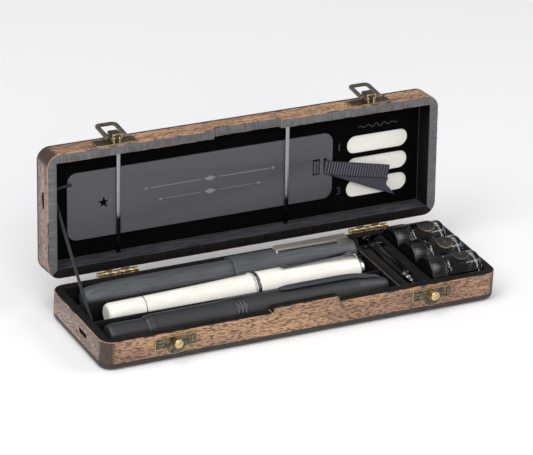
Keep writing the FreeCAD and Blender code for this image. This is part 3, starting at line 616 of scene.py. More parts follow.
# ---- cloth ----------------------------------------------------------------------------------------
def grosgrain(name):
    """Grosgrain ribbon: raised cross ribs of fine dark violet-grey yarn, with a silky sheen."""
    material, tree, shader = surface(name, "#2E2A38", 0.6, IOR=1.45, Sheen_Weight=0.4, Sheen_Roughness=0.4)
    rib = add(tree, "ShaderNodeAttribute", {}, "Fac", attribute_name="rib")
    yarn = blotches(tree, (0.25, 0.25, 0.25), 3.0, 0.7)
    # painted highlight and shade: the colour follows the ribs' height, pale on their crests and near black
    # between them and along the edges
    colour = turning(tree, rib, 0.1, 0.9, "#09080C", "#565361")
    dress(tree, shader, turning(tree, yarn, 0.5, 1.0, colour, "#26222E"), None, (yarn, 0.08, 0.6))
    return material


def braided_elastic(name):
    """Elastic covered with dark metallised yarn: it mirrors what lies before the lid."""
    material, tree, shader = surface(name, "#8E8E90", 0.2, Metallic=1.0)
    yarn = blotches(tree, (0.18, 0.5, 0.18), 3.0, 0.6)
    colour = turning(tree, yarn, 0.3, 0.7, "#7C7C80", "#B4B4B8")
    # painted reflection of the dark base: the bands turn near black towards the hinge, their lower part with the
    # lid open
    axes = drawn_axes(tree)
    lean = add(tree, "ShaderNodeMath", {0: axes[0], 1: 0.05}, operation="MULTIPLY")
    towards = add(tree, "ShaderNodeMath", {0: axes[1], 1: lean}, operation="SUBTRACT")
    colour = turning(tree, towards, 8.0, 11.5, colour, "#1B1B1E")
    dress(tree, shader, colour, (yarn, 0.14, 0.3), (yarn, 0.05, 0.6))
    return material


def waxed_lace(name):
    """Waxed flat braid: black with a dull wax sheen and small diagonal yarns."""
    material, tree, shader = surface(name, "#141416", 0.42, IOR=1.45)
    place = add(tree, "ShaderNodeAttribute", {}, "Vector", attribute_name="place")
    yarn = add(tree, "ShaderNodeTexWave", {"Vector": place, "Scale": 0.55, "Distortion": 1.5, "Detail": 2.0},
               "Fac", wave_type="BANDS", bands_direction="DIAGONAL")
    colour = add(tree, "ShaderNodeMix", {0: yarn, 6: "#0C0C0E", 7: "#2B2B2E"}, 2, data_type="RGBA")
    dress(tree, shader, colour, None, (yarn, 0.08, 0.7))
    return material


# ---- wooden shell ---------------------------------------------------------------------------------
def sort_faces(bm, on_lid):
    """Gives a wall's rim face and inner faces their own finish."""
    for face in bm.faces:
        c = face.calc_center_median()
        up = face.normal
        in_slot = (abs(c.y - LACE_LINE) < 4.6 and abs(c.x) > inner_x
                   and abs(abs(c.z - rim) - SLOT_FROM_RIM) < 1.3)
        if in_slot and abs(up.x) < 0.6:
            face.material_index = 2
        elif abs(up.z) > 0.7 and abs(c.z - rim) < 4 and (up.z < 0) == on_lid:
            face.material_index = 1
        elif abs(c.x) < inner_x + 0.05 and abs(c.y) < inner_y + 0.05:
            face.material_index = 2
        elif abs(c.x) < 20 and abs(c.z - rim) < 3.2 and abs(up.y) < 0.5:
            face.material_index = 1
    # the closed rims only just meet
    meeting = [face for face in bm.faces if face.material_index == 1 and abs(face.normal.z) > 0.7]
    for v in {v for face in meeting for v in face.verts}:
        v.co.z += RIM_RELIEF if on_lid else -RIM_RELIEF


def off_mitre(a, b):
    """Whether an edge lies elsewhere than in a mitred joint or along a panel."""
    def on_joint(p):
        return abs((half_length - abs(p.x)) - (half_width - abs(p.y))) < 0.02
    by_panel = all(abs(abs(p.z - rim) - (rim - panel)) < 0.02 for p in (a, b))
    return not (on_joint(a) and on_joint(b)) and not by_panel


class PENCASE_OT_shell(bpy.types.Operator):
    """Makes the eight walls and the two panels"""
    bl_idname = "pencase.shell"
    bl_label = "Wooden shell"

    def execute(self, context):
        width = choice("pen_case_wood").edge_round
        inside = black_stained_wood("black_stained_inside")
        dusty = black_stained_wood("dusty_black_stain", "#2A2A2E", "x", "#505056")
        bare = bare_edge("rubbed_edge")
        for along, sides in (("x", ("front", "rear")), ("y", ("left", "right"))):
            wood = oiled_walnut(f"oiled_walnut_{along}", along)
            deep = stained_end_cut(f"stained_rim_{along}", along, "#0D0D0E", "#1F1E1F", 0.15)
            # painted reflection: away from the hinge, the lid's rims get the same black stain drawn grey, as lit
            # by the bright floor before them; the rim by the hinge keeps the dark stain
            rubbed = stained_end_cut(f"painted_reflection_rim_{along}", along, "#4A4A4B", "#6E6E70", 0.5)
            for side in sides:
                for part in ("base", "lid"):
                    on_lid = part == "lid"
                    by_hinge = on_lid and side == "rear"
                    finishes = [wood, rubbed if on_lid and not by_hinge else deep,
                                dusty if by_hinge else inside, bare]
                    node = f"{part}_{side}_wall"
                    bm = traced(node, on_lid)
                    sort_faces(bm, on_lid)
                    soften(bm, width, 2, 3, off_mitre, 50)
                    piece(f"{part}_{side}_board", bm, part, finishes, [node], on_lid)
        panel_finish = burnished_panel("burnished_panel_edge")
        for part, node in (("base", "base_bottom_panel"), ("lid", "lid_top_panel")):
            on_lid = part == "lid"
            bm = traced(node, on_lid)
            soften(bm, 0.12, 1, -1, lambda a, b: abs(a.z - rim) < rim - panel + 0.1, 50)
            piece(f"{part}_panel", bm, part, [panel_finish], [node], on_lid)
        return {"FINISHED"}


class PENCASE_OT_inserts(bpy.types.Operator):
    """Makes the felts, dividers and cradle in the base"""
    bl_idname = "pencase.inserts"
    bl_label = "Inserts"

    def execute(self, context):
        felt = cut_felt("black_wool_felt", "#060607", "#111112")
        block_felt = cut_felt("brown_black_felt", "#080707", "#141113")
        board = black_stained_wood("stained_thin_board", "#0A0A0B")
        across = black_stained_wood("stained_cross_board", "#0A0A0B", "y")
        edge = cut_board_edge("pale_divider_edge")
        for node, finish, slot, width in (
                ("pen_bay_liner", felt, "black_felt", 0.2), ("tool_block", block_felt, "black_felt", 0.35),
                ("pen_dividers", board, "black_stained_board", 0.15),
                ("bay_divider", across, "black_stained_board", 0.1),
                ("vial_cradle", across, "black_stained_board", 0.12)):
            # the bay divider's rounded edges are drawn in the pale edge colour
            bm = soften(traced(node), width, 2, 1 if node == "bay_divider" else -1, lambda a, b: True, 50)
            piece(node + "_finished", bm, "base", [finish, edge], [node])
        return {"FINISHED"}


# ---- pens -----------------------------------------------------------------------------------------
def axis_of(node):
    a, b = drawn_box(node)
    return (a.y + b.y) / 2, (a.z + b.z) / 2


class PENCASE_OT_back_pen(bpy.types.Operator):
    """Makes the brushed charcoal pen with its folded steel clip"""
    bl_idname = "pencase.back_pen"
    bl_label = "Back pen"

    def execute(self, context):
        resin = brushed_resin("brushed_charcoal_resin", as_hex(choice("pen_case_contents").back_pen))
        steel = brushed_steel("brushed_clip_steel")
        x0 = drawn_box("back_pen_barrel")[0].x
        y, z = axis_of("back_pen_barrel")
        cap_low, cap_high = drawn_box("back_pen_cap")
        joint_x, end, c = cap_low.x, cap_high.x, cap_high.z - z
        r = c - 1.2
        seam = x0 + 19.1
        bm = turned(bmesh.new(), [
            (x0, 0, 0), (x0, r - 2.5, 0), (x0 + 0.2, r - 2.0, 0.5), (x0 + 1.8, r - 1.1, 1.4),
            (x0 + 9, r - 0.32, 3), (seam - 0.08, r - 0.04, 0), (seam, r - 0.12, 0),
            (seam + 0.08, r - 0.02, 0), (x0 + 30, r, 2), (joint_x + 0.4, r, 0), (joint_x + 0.4, 0, 0)], y, z)
        piece("back_pen_body", bm, "back_pen", [resin], ["back_pen_barrel"])
        bm = turned(bmesh.new(), [
            (joint_x, 0, 0), (joint_x, c - 0.45, 0), (joint_x + 0.35, c, 0.35), (joint_x + 12, c, 3),
            (end - 12, c - 0.2, 4), (end - 2.4, c - 0.95, 1.2), (end - 0.5, c - 1.8, 0.8),
            (end, c - 3.2, 0.5), (end, 0, 0)], y, z)
        piece("back_pen_cap_body", bm, "back_pen", [resin], ["back_pen_cap"])
        # the clip is one folded sheet: a flat face with its two long sides turned down
        bm = bmesh.new()
        tip, foot = end - 40.0, end - 4.2
        top = z + c + 1.55
        rows = ((tip, 1.5, 0.25, 0.9), (tip + 0.8, 1.75, 0.0, 1.15), (tip + 12, 1.75, 0.0, 1.15),
                (foot - 8, 1.9, 0.0, 1.25), (foot - 5.6, 2.0, 0.0, 1.3), (foot - 5.2, 2.0, 0.0, 2.9),
                (foot - 0.3, 2.0, 0.0, 2.9), (foot, 1.9, 0.2, 2.7))

        def folded(row):
            x, half, sink, deep = row
            thick = 0.28
            points = [(-half, top - sink - deep), (-half, top - sink), (half, top - sink),
                      (half, top - sink - deep), (half - thick, top - sink - deep),
                      (half - thick, top - sink - thick), (-half + thick, top - sink - thick),
                      (-half + thick, top - sink - deep)]
            return [bm.verts.new((x, y + a, b)) for a, b in points]

        rings = [folded(row) for row in rows]
        for one, two in zip(rings, rings[1:]):
            for n in range(8):
                m = (n + 1) % 8
                bm.faces.new((one[n], one[m], two[m], two[n]))
        bm.faces.new(rings[0])
        bm.faces.new(list(reversed(rings[-1])))
        soften(bm, 0.08, 2, -1, lambda a, b: True, 45)
        bead = turned(bm, [(-1.5, 0, 0), (-1.5, 0.5, 0.2), (-1.2, 0.75, 0.2), (1.2, 0.75, 0.2),
                           (1.5, 0.5, 0.2), (1.5, 0, 0)], 0, 0, 32)
        for v in list(bead.verts)[-(32 * 20):]:
            if v.co.length < 2.2:
                v.co = Vector((tip + 1.0 - v.co.y, y + v.co.x, top - 1.5 + v.co.z))
        piece("back_pen_folded_clip", bm, "back_pen", [steel], ["back_pen_clip"])
        return {"FINISHED"}


class PENCASE_OT_middle_pen(bpy.types.Operator):
    """Makes the polished white pen with its rings and arched clip"""
    bl_idname = "pencase.middle_pen"
    bl_label = "Middle pen"

    def execute(self, context):
        white = polished_resin("polished_white_resin", as_hex(choice("pen_case_contents").middle_pen))
        chrome = bright_chrome("bright_chrome_trim")
        x0 = drawn_box("middle_pen_barrel")[0].x
        y, z = axis_of("middle_pen_barrel")
        cap_low, cap_high = drawn_box("middle_pen_cap")
        joint_x, c = cap_low.x, cap_high.z - z
        end = drawn_box("middle_pen_rings")[1].x
        r = c - 0.5
        seam = x0 + 17.2
        bm = turned(bmesh.new(), [
            (x0, 0, 0), (x0, r - 3.2, 1.0), (x0 + 0.25, r - 2.3, 0.8), (x0 + 1.6, r - 1.6, 1.2),
            (seam, r - 1.35, 2), (x0 + 33, r - 0.98, 4), (x0 + 48, r - 0.6, 5), (joint_x - 8, r - 0.15, 4),
            (joint_x - 0.1, r, 0), (joint_x - 0.1, 0, 0)], y, z)
        piece("middle_pen_body", bm, "middle_pen", [white], ["middle_pen_barrel"])
        bm = turned(bmesh.new(), [
            (joint_x, 0, 0), (joint_x, c - 0.1, 0), (joint_x + 0.12, c, 0), (joint_x + 20, c, 5),
            (end - 17, c - 0.12, 5), (end - 3.4, c - 0.85, 0.4), (end - 3.2, c - 1.2, 0),
            (end - 3.2, 0, 0)], y, z)
        piece("middle_pen_cap_body", bm, "middle_pen", [white], ["middle_pen_cap"])
        bm = bmesh.new()
        for at, width in ((joint_x + 0.2, 0.4), (joint_x + 0.9, 1.8)):
            turned(bm, closed([(at, c - 0.3, 0), (at, c + 0.1, 0.06), (at + width, c + 0.1, 0.06),
                               (at + width, c - 0.3, 0)]), y, z)
        turned(bm, closed([(seam - 0.22, r - 1.5, 0), (seam - 0.22, r - 1.28, 0.05),
                           (seam + 0.22, r - 1.28, 0.05), (seam + 0.22, r - 1.5, 0)]), y, z)
        turned(bm, [(end - 3.2, 0, 0), (end - 3.2, c - 1.0, 0.1), (end - 2.6, c - 1.0, 0.2),
                    (end - 2.4, c - 1.7, 0.2), (end - 0.9, c - 1.9, 0.4), (end - 0.2, c - 3.2, 0.6),
                    (end, c - 4.6, 0.5), (end, 0, 0)], y, z)
        piece("middle_pen_trim", bm, "middle_pen", [chrome], ["middle_pen_rings"])
        tip = end - 40.8
        arch = smooth_path([(end - 3.4, y, z + c - 0.9), (end - 4.2, y, z + c + 0.9),
                            (end - 6.2, y, z + c + 1.75), (end - 12, y, z + c + 1.6),
                            (end - 20, y, z + c + 1.25), (end - 30, y, z + c + 0.8),
                            (tip + 2.6, y, z + c + 0.55), (tip + 1.0, y, z + c + 0.75),
                            (tip + 0.1, y, z + c + 1.3)])

        def section(t):
            half = 1.75 - 0.55 * t + (0.5 * math.exp(-((t - 0.93) / 0.06) ** 2))
            return [(a * half, b * 0.34) for a, b in flat_oval(2, 2, 14, 2.4)]

        bm = swept(bmesh.new(), arch, section)
        piece("middle_pen_arched_clip", bm, "middle_pen", [chrome], ["middle_pen_clip"])
        return {"FINISHED"}


class PENCASE_OT_front_pen(bpy.types.Operator):
    """Makes the matt black capless pen with its push button"""
    bl_idname = "pencase.front_pen"
    bl_label = "Front pen"

    def execute(self, context):
        matt = matt_lacquer("matt_black_lacquer", as_hex(choice("pen_case_contents").front_pen))
        blade = matt_lacquer("matt_black_clip", "#34363A")
        gloss = bright_chrome("smoked_chrome_ring", "#5E5F63", 0.24, 0.34)
        push = drawn_box("front_pen_barrel")[0].x - 2.2
        y, z = axis_of("front_pen_barrel")
        end = drawn_box("front_pen_barrel")[1].x
        start, _ = drawn_box("front_pen_button")
        g = drawn_box("front_pen_barrel")[1].z - z
        r, b = g - 0.6, g - 1.8
        line = push + 4.0
        bm = turned(bmesh.new(), [
            (push + 14, 0, 0), (push + 14, b + 0.1, 0), (push + 0.1, b + 0.1, 0), (push, r - 0.9, 0.2),
            (push + 0.9, r - 0.45, 0.6), (line - 0.1, r - 0.2, 0), (line, r - 0.32, 0),
            (line + 0.1, r - 0.15, 0), (push + 36, r + 0.1, 3), (push + 40.8, g - 0.05, 1.2),
            (push + 49, g, 2), (end - 16.4, g - 0.05, 6), (end - 16.3, g - 0.16, 0),
            (end - 16.2, g - 0.05, 0), (end - 5, g - 2.0, 3), (end - 1.2, g - 3.2, 1), (end, g - 4.4, 0.8),
            (end, 0, 0)], y, z)
        piece("front_pen_body", bm, "front_pen", [matt], ["front_pen_barrel"])
        bm = bmesh.new()
        for at in (push + 41.9, push + 43.65, push + 45.4):
            turned(bm, closed([(at, g - 0.3, 0), (at, g + 0.1, 0.3), (at + 1.1, g + 0.1, 0.3),
                               (at + 1.1, g - 0.3, 0)]), y, z)
        piece("front_pen_trim", bm, "front_pen", [gloss], ["front_pen_rings"])
        bm = turned(bmesh.new(), [
            (start.x, 0, 0), (start.x, b - 1.6, 0.6), (start.x + 0.15, b - 0.7, 0.6),
            (start.x + 0.9, b - 0.15, 0.8), (start.x + 3, b, 1), (push + 2.9, b, 0),
            (push + 2.9, 0, 0)], y, z)
        piece("front_pen_knob", bm, "front_pen_push", [matt], ["front_pen_button"])
        tip = end - 53.2
        line_up = smooth_path([(tip, y, z + g + 0.75), (tip + 6, y, z + g + 0.95),
                               (tip + 20, y, z + g + 1.05), (tip + 31, y, z + g + 1.0),
                               (tip + 37, y, z + g + 0.55), (tip + 42, y, z + g - 0.4),
                               (tip + 46.5, y, z + g - 1.2), (tip + 48.6, y, z + g - 2.2)])

        def section(t):
            half = 1.15 + 0.75 * min(1, t / 0.1) - 0.85 * min(1, max(0, (t - 0.72) / 0.04))
            return [(a * half, c * 0.55) for a, c in flat_oval(2, 2, 16, 3)]

        bm = swept(bmesh.new(), line_up, section)
        piece("front_pen_blade_clip", bm, "front_pen", [blade], ["front_pen_clip"])
        return {"FINISHED"}


# ---- vials and syringe ----------------------------------------------------------------------------
def wrapped(x, across, radius, y, z, lean):
    """A point on a vial's side: across is the arc length from the label's middle line."""
    a = lean + across / radius
    return Vector((x, y - radius * math.sin(a), z + radius * math.cos(a)))


class PENCASE_OT_vials(bpy.types.Operator):
    """Makes the three ink vials with ribbed caps and round labels"""
    bl_idname = "pencase.vials"
    bl_label = "Ink vials"

    def execute(self, context):
        glass = clear_glass("clear_vial_glass")
        ink = liquid_ink("dark_ink", as_hex(choice("pen_case_contents").ink))
        cap = moulded_black("moulded_black_cap")
        label = coated_label("black_label_paper")
        gold = gold_print("gold_label_print")
        metal = bright_chrome("neck_liner_foil")
        for n in (1, 2, 3):
            self.vial(n, glass, ink, cap, label, gold, metal)
        return {"FINISHED"}

    def vial(self, n, glass, ink, cap, label, gold, metal):
        cap_low, cap_high = drawn_box(f"vial_{n}_cap")
        y, z = axis_of(f"vial_{n}_cap")
        x0, x1 = cap_low.x, drawn_box(f"vial_{n}_glass")[1].x
        cap_end, c = cap_high.x, cap_high.z - z
        r = c - 0.8
        inner = r - 0.9
        shoulder = cap_end + 0.7
        foot = x1 - 2.0
        bm = turned(bmesh.new(), closed([
            (x0 + 1.6, inner - 0.9, 0), (x0 + 1.6, r - 0.9, 0.2), (shoulder, r - 0.9, 0.3),
            (shoulder + 0.8, r, 0.6), (x1 - 0.7, r, 0.6), (x1, r - 0.8, 0.5), (x1, r - 1.6, 0.3),
            (x1 - 0.35, r - 2.4, 0.4), (x1 - 0.35, 0, 0), (foot, 0, 0), (foot, inner - 0.6, 0.6),
            (foot - 0.8, inner, 0.6), (shoulder + 1.5, inner, 0.6),
            (shoulder + 0.6, inner - 0.9, 0.3)]), y, z)
        bmesh.ops.remove_doubles(bm, verts=bm.verts, dist=QUIET)
        piece(f"vial_{n}_bottle", bm, f"vial_{n}", [glass], [f"vial_{n}_glass"])
        gap = -0.03         # the ink wets the glass
        bm = turned(bmesh.new(), [
            (x0 + 2.4, 0, 0), (x0 + 2.4, inner - 0.9 - gap, 0), (shoulder + 0.7, inner - 0.9 - gap, 0.3),
            (shoulder + 1.6, inner - gap, 0.6), (foot - 4.6, inner - gap, 1.2),
            (foot - 0.6, inner * 0.5, 0.8), (foot - 0.5, 0, 0)], y, z)
        piece(f"vial_{n}_ink", bm, f"vial_{n}", [ink])
        count = choice("pen_case_contents").cap_ribs
        bm = turned(bmesh.new(), closed([
            (x0 + 1.2, 0, 0), (x0 + 1.2, r - 0.82, 0.1), (cap_end, r - 0.82, 0.1), (cap_end, c - 0.25, 0.2),
            (cap_end - 0.35, c, 0.2), (cap_end - 0.8, c, 0), (cap_end - 0.9, c - 0.02, 0),
            (x0 + 1.1, c - 0.02, 0), (x0 + 1.0, c, 0), (x0 + 0.55, c, 0.3), (x0 + 0.12, c - 0.45, 0.3),
            (x0, c - 0.9, 0.2), (x0, c - 1.3, 0.1), (x0 + 0.2, c - 1.5, 0.1),
            (x0 + 0.2, 0, 0)]), y, z, 192, count, 0.08, x0 + 1.05, cap_end - 0.85)
        bmesh.ops.remove_doubles(bm, verts=bm.verts, dist=QUIET)
        piece(f"vial_{n}_ribbed_cap", bm, f"vial_{n}_top", [cap], [f"vial_{n}_cap"])
        bm = turned(bmesh.new(), closed([
            (cap_end + 0.12, r - 0.88, 0), (cap_end + 0.12, r - 0.5, 0.1), (cap_end + 0.5, r - 0.5, 0.1),
            (cap_end + 0.5, r - 0.88, 0)]), y, z)
        piece(f"vial_{n}_neck_ring", bm, f"vial_{n}", [metal])
        self.sticker(n, y, z, r, (shoulder + x1) / 2, label, gold)

    def sticker(self, n, y, z, r, middle, label, gold):
        """A round label that follows the glass, with a printed gold ring and numeral."""
        points = [v.co / MM for v in frame["nodes"][f"vial_{n}_label"].data.vertices]
        centre = sum(points, Vector()) / len(points)
        lean = math.atan2(y - centre.y, centre.z - z)
        size = 4.3
        skin = r + 0.03
        bm = bmesh.new()
        steps, circles = 64, 10

        def lay(radius, angle, lift):
            return wrapped(middle + radius * math.cos(angle), radius * math.sin(angle), skin + lift, y, z, lean)

        for lift, flip in ((0.0, True), (0.1, False)):
            centre = bm.verts.new(lay(0, 0, lift))
            rings = [[bm.verts.new(lay(size * k / circles, 2 * math.pi * s / steps, lift))
                      for s in range(steps)] for k in range(1, circles + 1)]
            for s in range(steps):
                bm.faces.new((centre, rings[0][s], rings[0][(s + 1) % steps]))
                for one, two in zip(rings, rings[1:]):
                    bm.faces.new((one[s], two[s], two[(s + 1) % steps], one[(s + 1) % steps]))
            if flip:
                under = rings[-1]
            else:
                for s in range(steps):
                    bm.faces.new((under[s], rings[-1][s], rings[-1][(s + 1) % steps], under[(s + 1) % steps]))
        piece(f"vial_{n}_sticker", bm, f"vial_{n}", [label], [f"vial_{n}_label"])
        bm = bmesh.new()
        radius, width = 3.75, 0.2
        rings = [[bm.verts.new(lay(radius + a, 2 * math.pi * s / steps, lift)) for s in range(steps)]
                 for a, lift in ((0, 0.11), (0, 0.13), (width, 0.13), (width, 0.11))]
        for one, two in zip(rings, rings[1:] + rings[:1]):
            for s in range(steps):
                bm.faces.new((one[s], two[s], two[(s + 1) % steps], one[(s + 1) % steps]))
        text_mesh(bm, str(n), 3.6, lambda p: wrapped(middle + p.x, -p.y, skin + 0.12 + p.z, y, z, lean), 0.03)
        piece(f"vial_{n}_gold_print", bm, f"vial_{n}", [gold])


def turned_to_y(bm, x, z):
    """Turns a body drawn about the line along X at (0, z) to run along Y at x."""
    for v in bm.verts:
        v.co = Vector((x - v.co.y, v.co.x, v.co.z))
    return bm


class PENCASE_OT_syringe(bpy.types.Operator):
    """Makes the filling syringe with its needle and plunger"""
    bl_idname = "pencase.syringe"
    bl_label = "Ink syringe"

    def execute(self, context):
        smoky = moulded_black("smoky_syringe_resin", 0.1)
        steel = bright_chrome("needle_steel")
        dark = moulded_black("dark_syringe_barrel", 0.08)
        low_corner, high_corner = drawn_box("syringe_barrel")
        x = (low_corner.x + high_corner.x) / 2
        z = (low_corner.z + high_corner.z) / 2
        y0, y1 = low_corner.y, high_corner.y
        start = y0 + 8.0
        bm = turned(bmesh.new(), closed([
            (y0 + 4.2, 0.55, 0), (y0 + 4.2, 1.1, 0.2), (start - 0.8, 1.35, 0.3), (start, 2.6, 0.5),
            (y1 - 1.4, 2.6, 0.2), (y1 - 1.4, 2.9, 0.1), (y1 - 0.6, 2.9, 0.1), (y1 - 0.6, 1.95, 0),
            (start + 1.2, 1.95, 0.4), (start + 0.6, 0.55, 0.2)]), 0, z, 64)
        turned_to_y(bm, x, z)
        piece("syringe_tube", bm, "syringe", [dark], ["syringe_barrel"])
        bm = turned(bmesh.new(), closed([(y0, 0.2, 0), (y0, 0.42, 0.1), (y0 + 5.0, 0.42, 0),
                                         (y0 + 5.0, 0.2, 0)]),
                    0, z, 32)
        turned_to_y(bm, x, z)
        piece("syringe_needle", bm, "syringe", [steel])
        bm = bmesh.new()
        turned(bm, closed([(y0 + 2.6, 0.43, 0), (y0 + 2.6, 0.9, 0.2), (y0 + 5.4, 1.25, 0.2),
                           (y0 + 5.6, 1.5, 0.1), (y0 + 6.4, 1.5, 0.1), (y0 + 6.4, 1.2, 0),
                           (y0 + 6.4, 0.43, 0)]), 0, z, 48)
        turned_to_y(bm, x, z)
        piece("syringe_hub", bm, "syringe", [steel])
        # finger flange: an oval plate across the open end
        bm = bmesh.new()
        rings = []
        for along, grow in ((-1.2, -0.15), (-1.05, 0), (-0.15, 0), (0, -0.15)):
            ring = []
            for s in range(48):
                a = 2 * math.pi * s / 48
                ring.append(bm.verts.new((x + (5.6 + grow) * math.cos(a), y1 + along,
                                          z + (2.8 + grow) * math.sin(a))))
            rings.append(ring)
        for one, two in zip(rings, rings[1:]):
            for s in range(48):
                bm.faces.new((one[s], one[(s + 1) % 48], two[(s + 1) % 48], two[s]))
        hole = []
        for ring in (rings[0], rings[-1]):
            y_at = ring[0].co.y
            turns = [2 * math.pi * s / 48 for s in range(48)]
            mouth = [bm.verts.new((x + 1.95 * math.cos(a), y_at, z + 1.95 * math.sin(a))) for a in turns]
            for s in range(48):
                bm.faces.new((ring[s], ring[(s + 1) % 48], mouth[(s + 1) % 48], mouth[s]))
            hole.append(mouth)
        for s in range(48):
            bm.faces.new((hole[0][s], hole[0][(s + 1) % 48], hole[1][(s + 1) % 48], hole[1][s]))
        piece("syringe_flange", bm, "syringe", [smoky])
        p0, p1 = drawn_box("syringe_plunger")
        bm = turned(bmesh.new(), [
            (p0.y, 0, 0), (p0.y, 1.2, 0), (p0.y + 0.8, 1.8, 0.3), (p0.y + 1.6, 1.8, 0.2),
            (p0.y + 1.7, 1.55, 0.1), (p0.y + 2.3, 1.55, 0.1), (p0.y + 2.4, 1.8, 0.2), (p0.y + 3.3, 1.8, 0.2),
            (p0.y + 3.4, 1.0, 0.2), (p1.y - 1.4, 1.0, 0.3), (p1.y - 1.2, 2.4, 0.2), (p1.y - 1.0, 2.6, 0.2),
            (p1.y - 0.2, 2.6, 0.2), (p1.y, 2.3, 0.2), (p1.y, 0, 0)], 0, z, 64)
        turned_to_y(bm, x, z)
        piece("syringe_rod", bm, "plunger", [smoky], ["syringe_plunger"])
        return {"FINISHED"}


# ---- inside of the lid ----------------------------------------------------------------------------
class PENCASE_OT_lid_inside(bpy.types.Operator):
    """Makes the liner board, sample card, cover plate, bands and engraved marks"""
    bl_idname = "pencase.lid_inside"
    bl_label = "Inside of the lid"

    def execute(self, context):
        board = flocked_board("black_flocked_board")
        cut = cut_board_edge("sawn_board_edge")
        paper = wove_paper("cream_wove_paper")
        sheet = anodised_sheet("anodised_cover_sheet")
        edge = lacquered_brass("bright_sheared_edge", "#8C8C8E", "#6A6A6C", 0.3)
        elastic = braided_elastic("braided_black_elastic")
        engraved = matt_lacquer("engraved_grey", "#77777A")
        faint = matt_lacquer("engraved_black_board", "#343437")
        bm = soften(traced("lid_liner_board", True), 0.3, 2, 1,
                    lambda a, b: max(abs(a.x + b.x) / 2 - inner_x, abs(a.y + b.y) / 2 - inner_y) > -1.5, 60)
        piece("lid_lining", bm, "lid", [board, cut], ["lid_liner_board"], True)
        bm = soften(traced("sample_card", True), 0.05, 1)
        piece("sample_sheet", bm, "lid", [paper], ["sample_card"], True)
        bm = soften(traced("cover_plate", True), 0.12, 2, 1, lambda a, b: True, 60)
        piece("cover_sheet", bm, "cover", [sheet, edge], ["cover_plate"], True, 20)
        self.marks(engraved, faint)
        plate_low = drawn_box("cover_plate", True)[0].z
        bm = bmesh.new()
        boxes = drawn_box("retaining_bands", True)
        side = boxes[1].y
        for x in (boxes[0].x + 1.1, boxes[1].x - 1.1):
            z = plate_low - 0.55
            path = smooth_path([(x, -side, z + 0.9), (x, -side + 0.5, z + 0.25), (x, -side + 1.8, z),
                                (x, -side / 2, z), (x, 0, z), (x, side / 2, z), (x, side - 1.8, z),
                                (x, side - 0.5, z + 0.25), (x, side, z + 0.9)], 6)
            swept(bm, path, flat_oval(1.9, 0.7, 16, 2.2), (1, 0, 0))
        piece("elastic_bands", bm, "lid", [elastic], ["retaining_bands"], True)
        return {"FINISHED"}

    def marks(self, engraved, faint):
        """A ruled ornament on the plate, a flourish over the windows and the numerals beside them."""
        plate_low = drawn_box("cover_plate", True)[0].z
        board_low = drawn_box("lid_liner_board", True)[0].z
        bm = bmesh.new()
        for y, half, thick in ((-3.4, 29, 0.34), (2.6, 22, 0.2)):
            for s in (-1, 1):
                a, b = sorted((s * 4.6, s * half))
                bar(bm, -14.5 + a, -14.5 + b, y - thick / 2, y + thick / 2, plate_low - 0.02, plate_low + 0.02)
            lozenge(bm, -14.5, y, 3.0, 1.25, plate_low - 0.02, plate_low + 0.02)
            for s in (-1, 1):
                lozenge(bm, -14.5 + s * (half + 1.8), y, 1.0, 0.6, plate_low - 0.02, plate_low + 0.02)
        piece("cover_ornament", bm, "cover", [engraved], (), True)
        bm = bmesh.new()
        card = drawn_box("sample_card", True)
        middle = (card[0].x + card[1].x) / 2
        for n, y in ((1, -7.2), (2, 3.2), (3, 13.6)):
            text_mesh(bm, str(n), 5.0,
                      lambda p: Vector((middle - 19.4 + p.x, y - p.y, board_low - 0.01 + p.z)), 0.02)
        line = [Vector((middle - 10 + t * 0.5, -15.4 - 0.9 * math.sin(t * 0.78) * math.exp(-((t - 20) / 16) ** 2),
                        board_low - 0.02)) for t in range(41)]
        swept(bm, line, flat_oval(0.34, 0.03, 8, 2), (0, 1, 0))
        piece("lining_numerals", bm, "lid", [faint], (), True)


def bar(bm, x0, x1, y0, y1, z0, z1):
    corners = [bm.verts.new((x, y, z)) for z in (z0, z1) for x, y in ((x0, y0), (x1, y0), (x1, y1), (x0, y1))]
    for face in ((0, 1, 2, 3), (7, 6, 5, 4), (0, 4, 5, 1), (1, 5, 6, 2), (2, 6, 7, 3), (3, 7, 4, 0)):
        bm.faces.new([corners[n] for n in face])


def lozenge(bm, x, y, half_x, half_y, z0, z1):
    rings = [[bm.verts.new((x + a * half_x, y + b * half_y, z)) for a, b in ((-1, 0), (0, -1), (1, 0),
        (0, 1))]
             for z in (z0, z1)]
    bm.faces.new(rings[0])
    bm.faces.new(list(reversed(rings[1])))
    for n in range(4):
        bm.faces.new((rings[0][n], rings[0][(n + 1) % 4], rings[1][(n + 1) % 4], rings[1][n]))


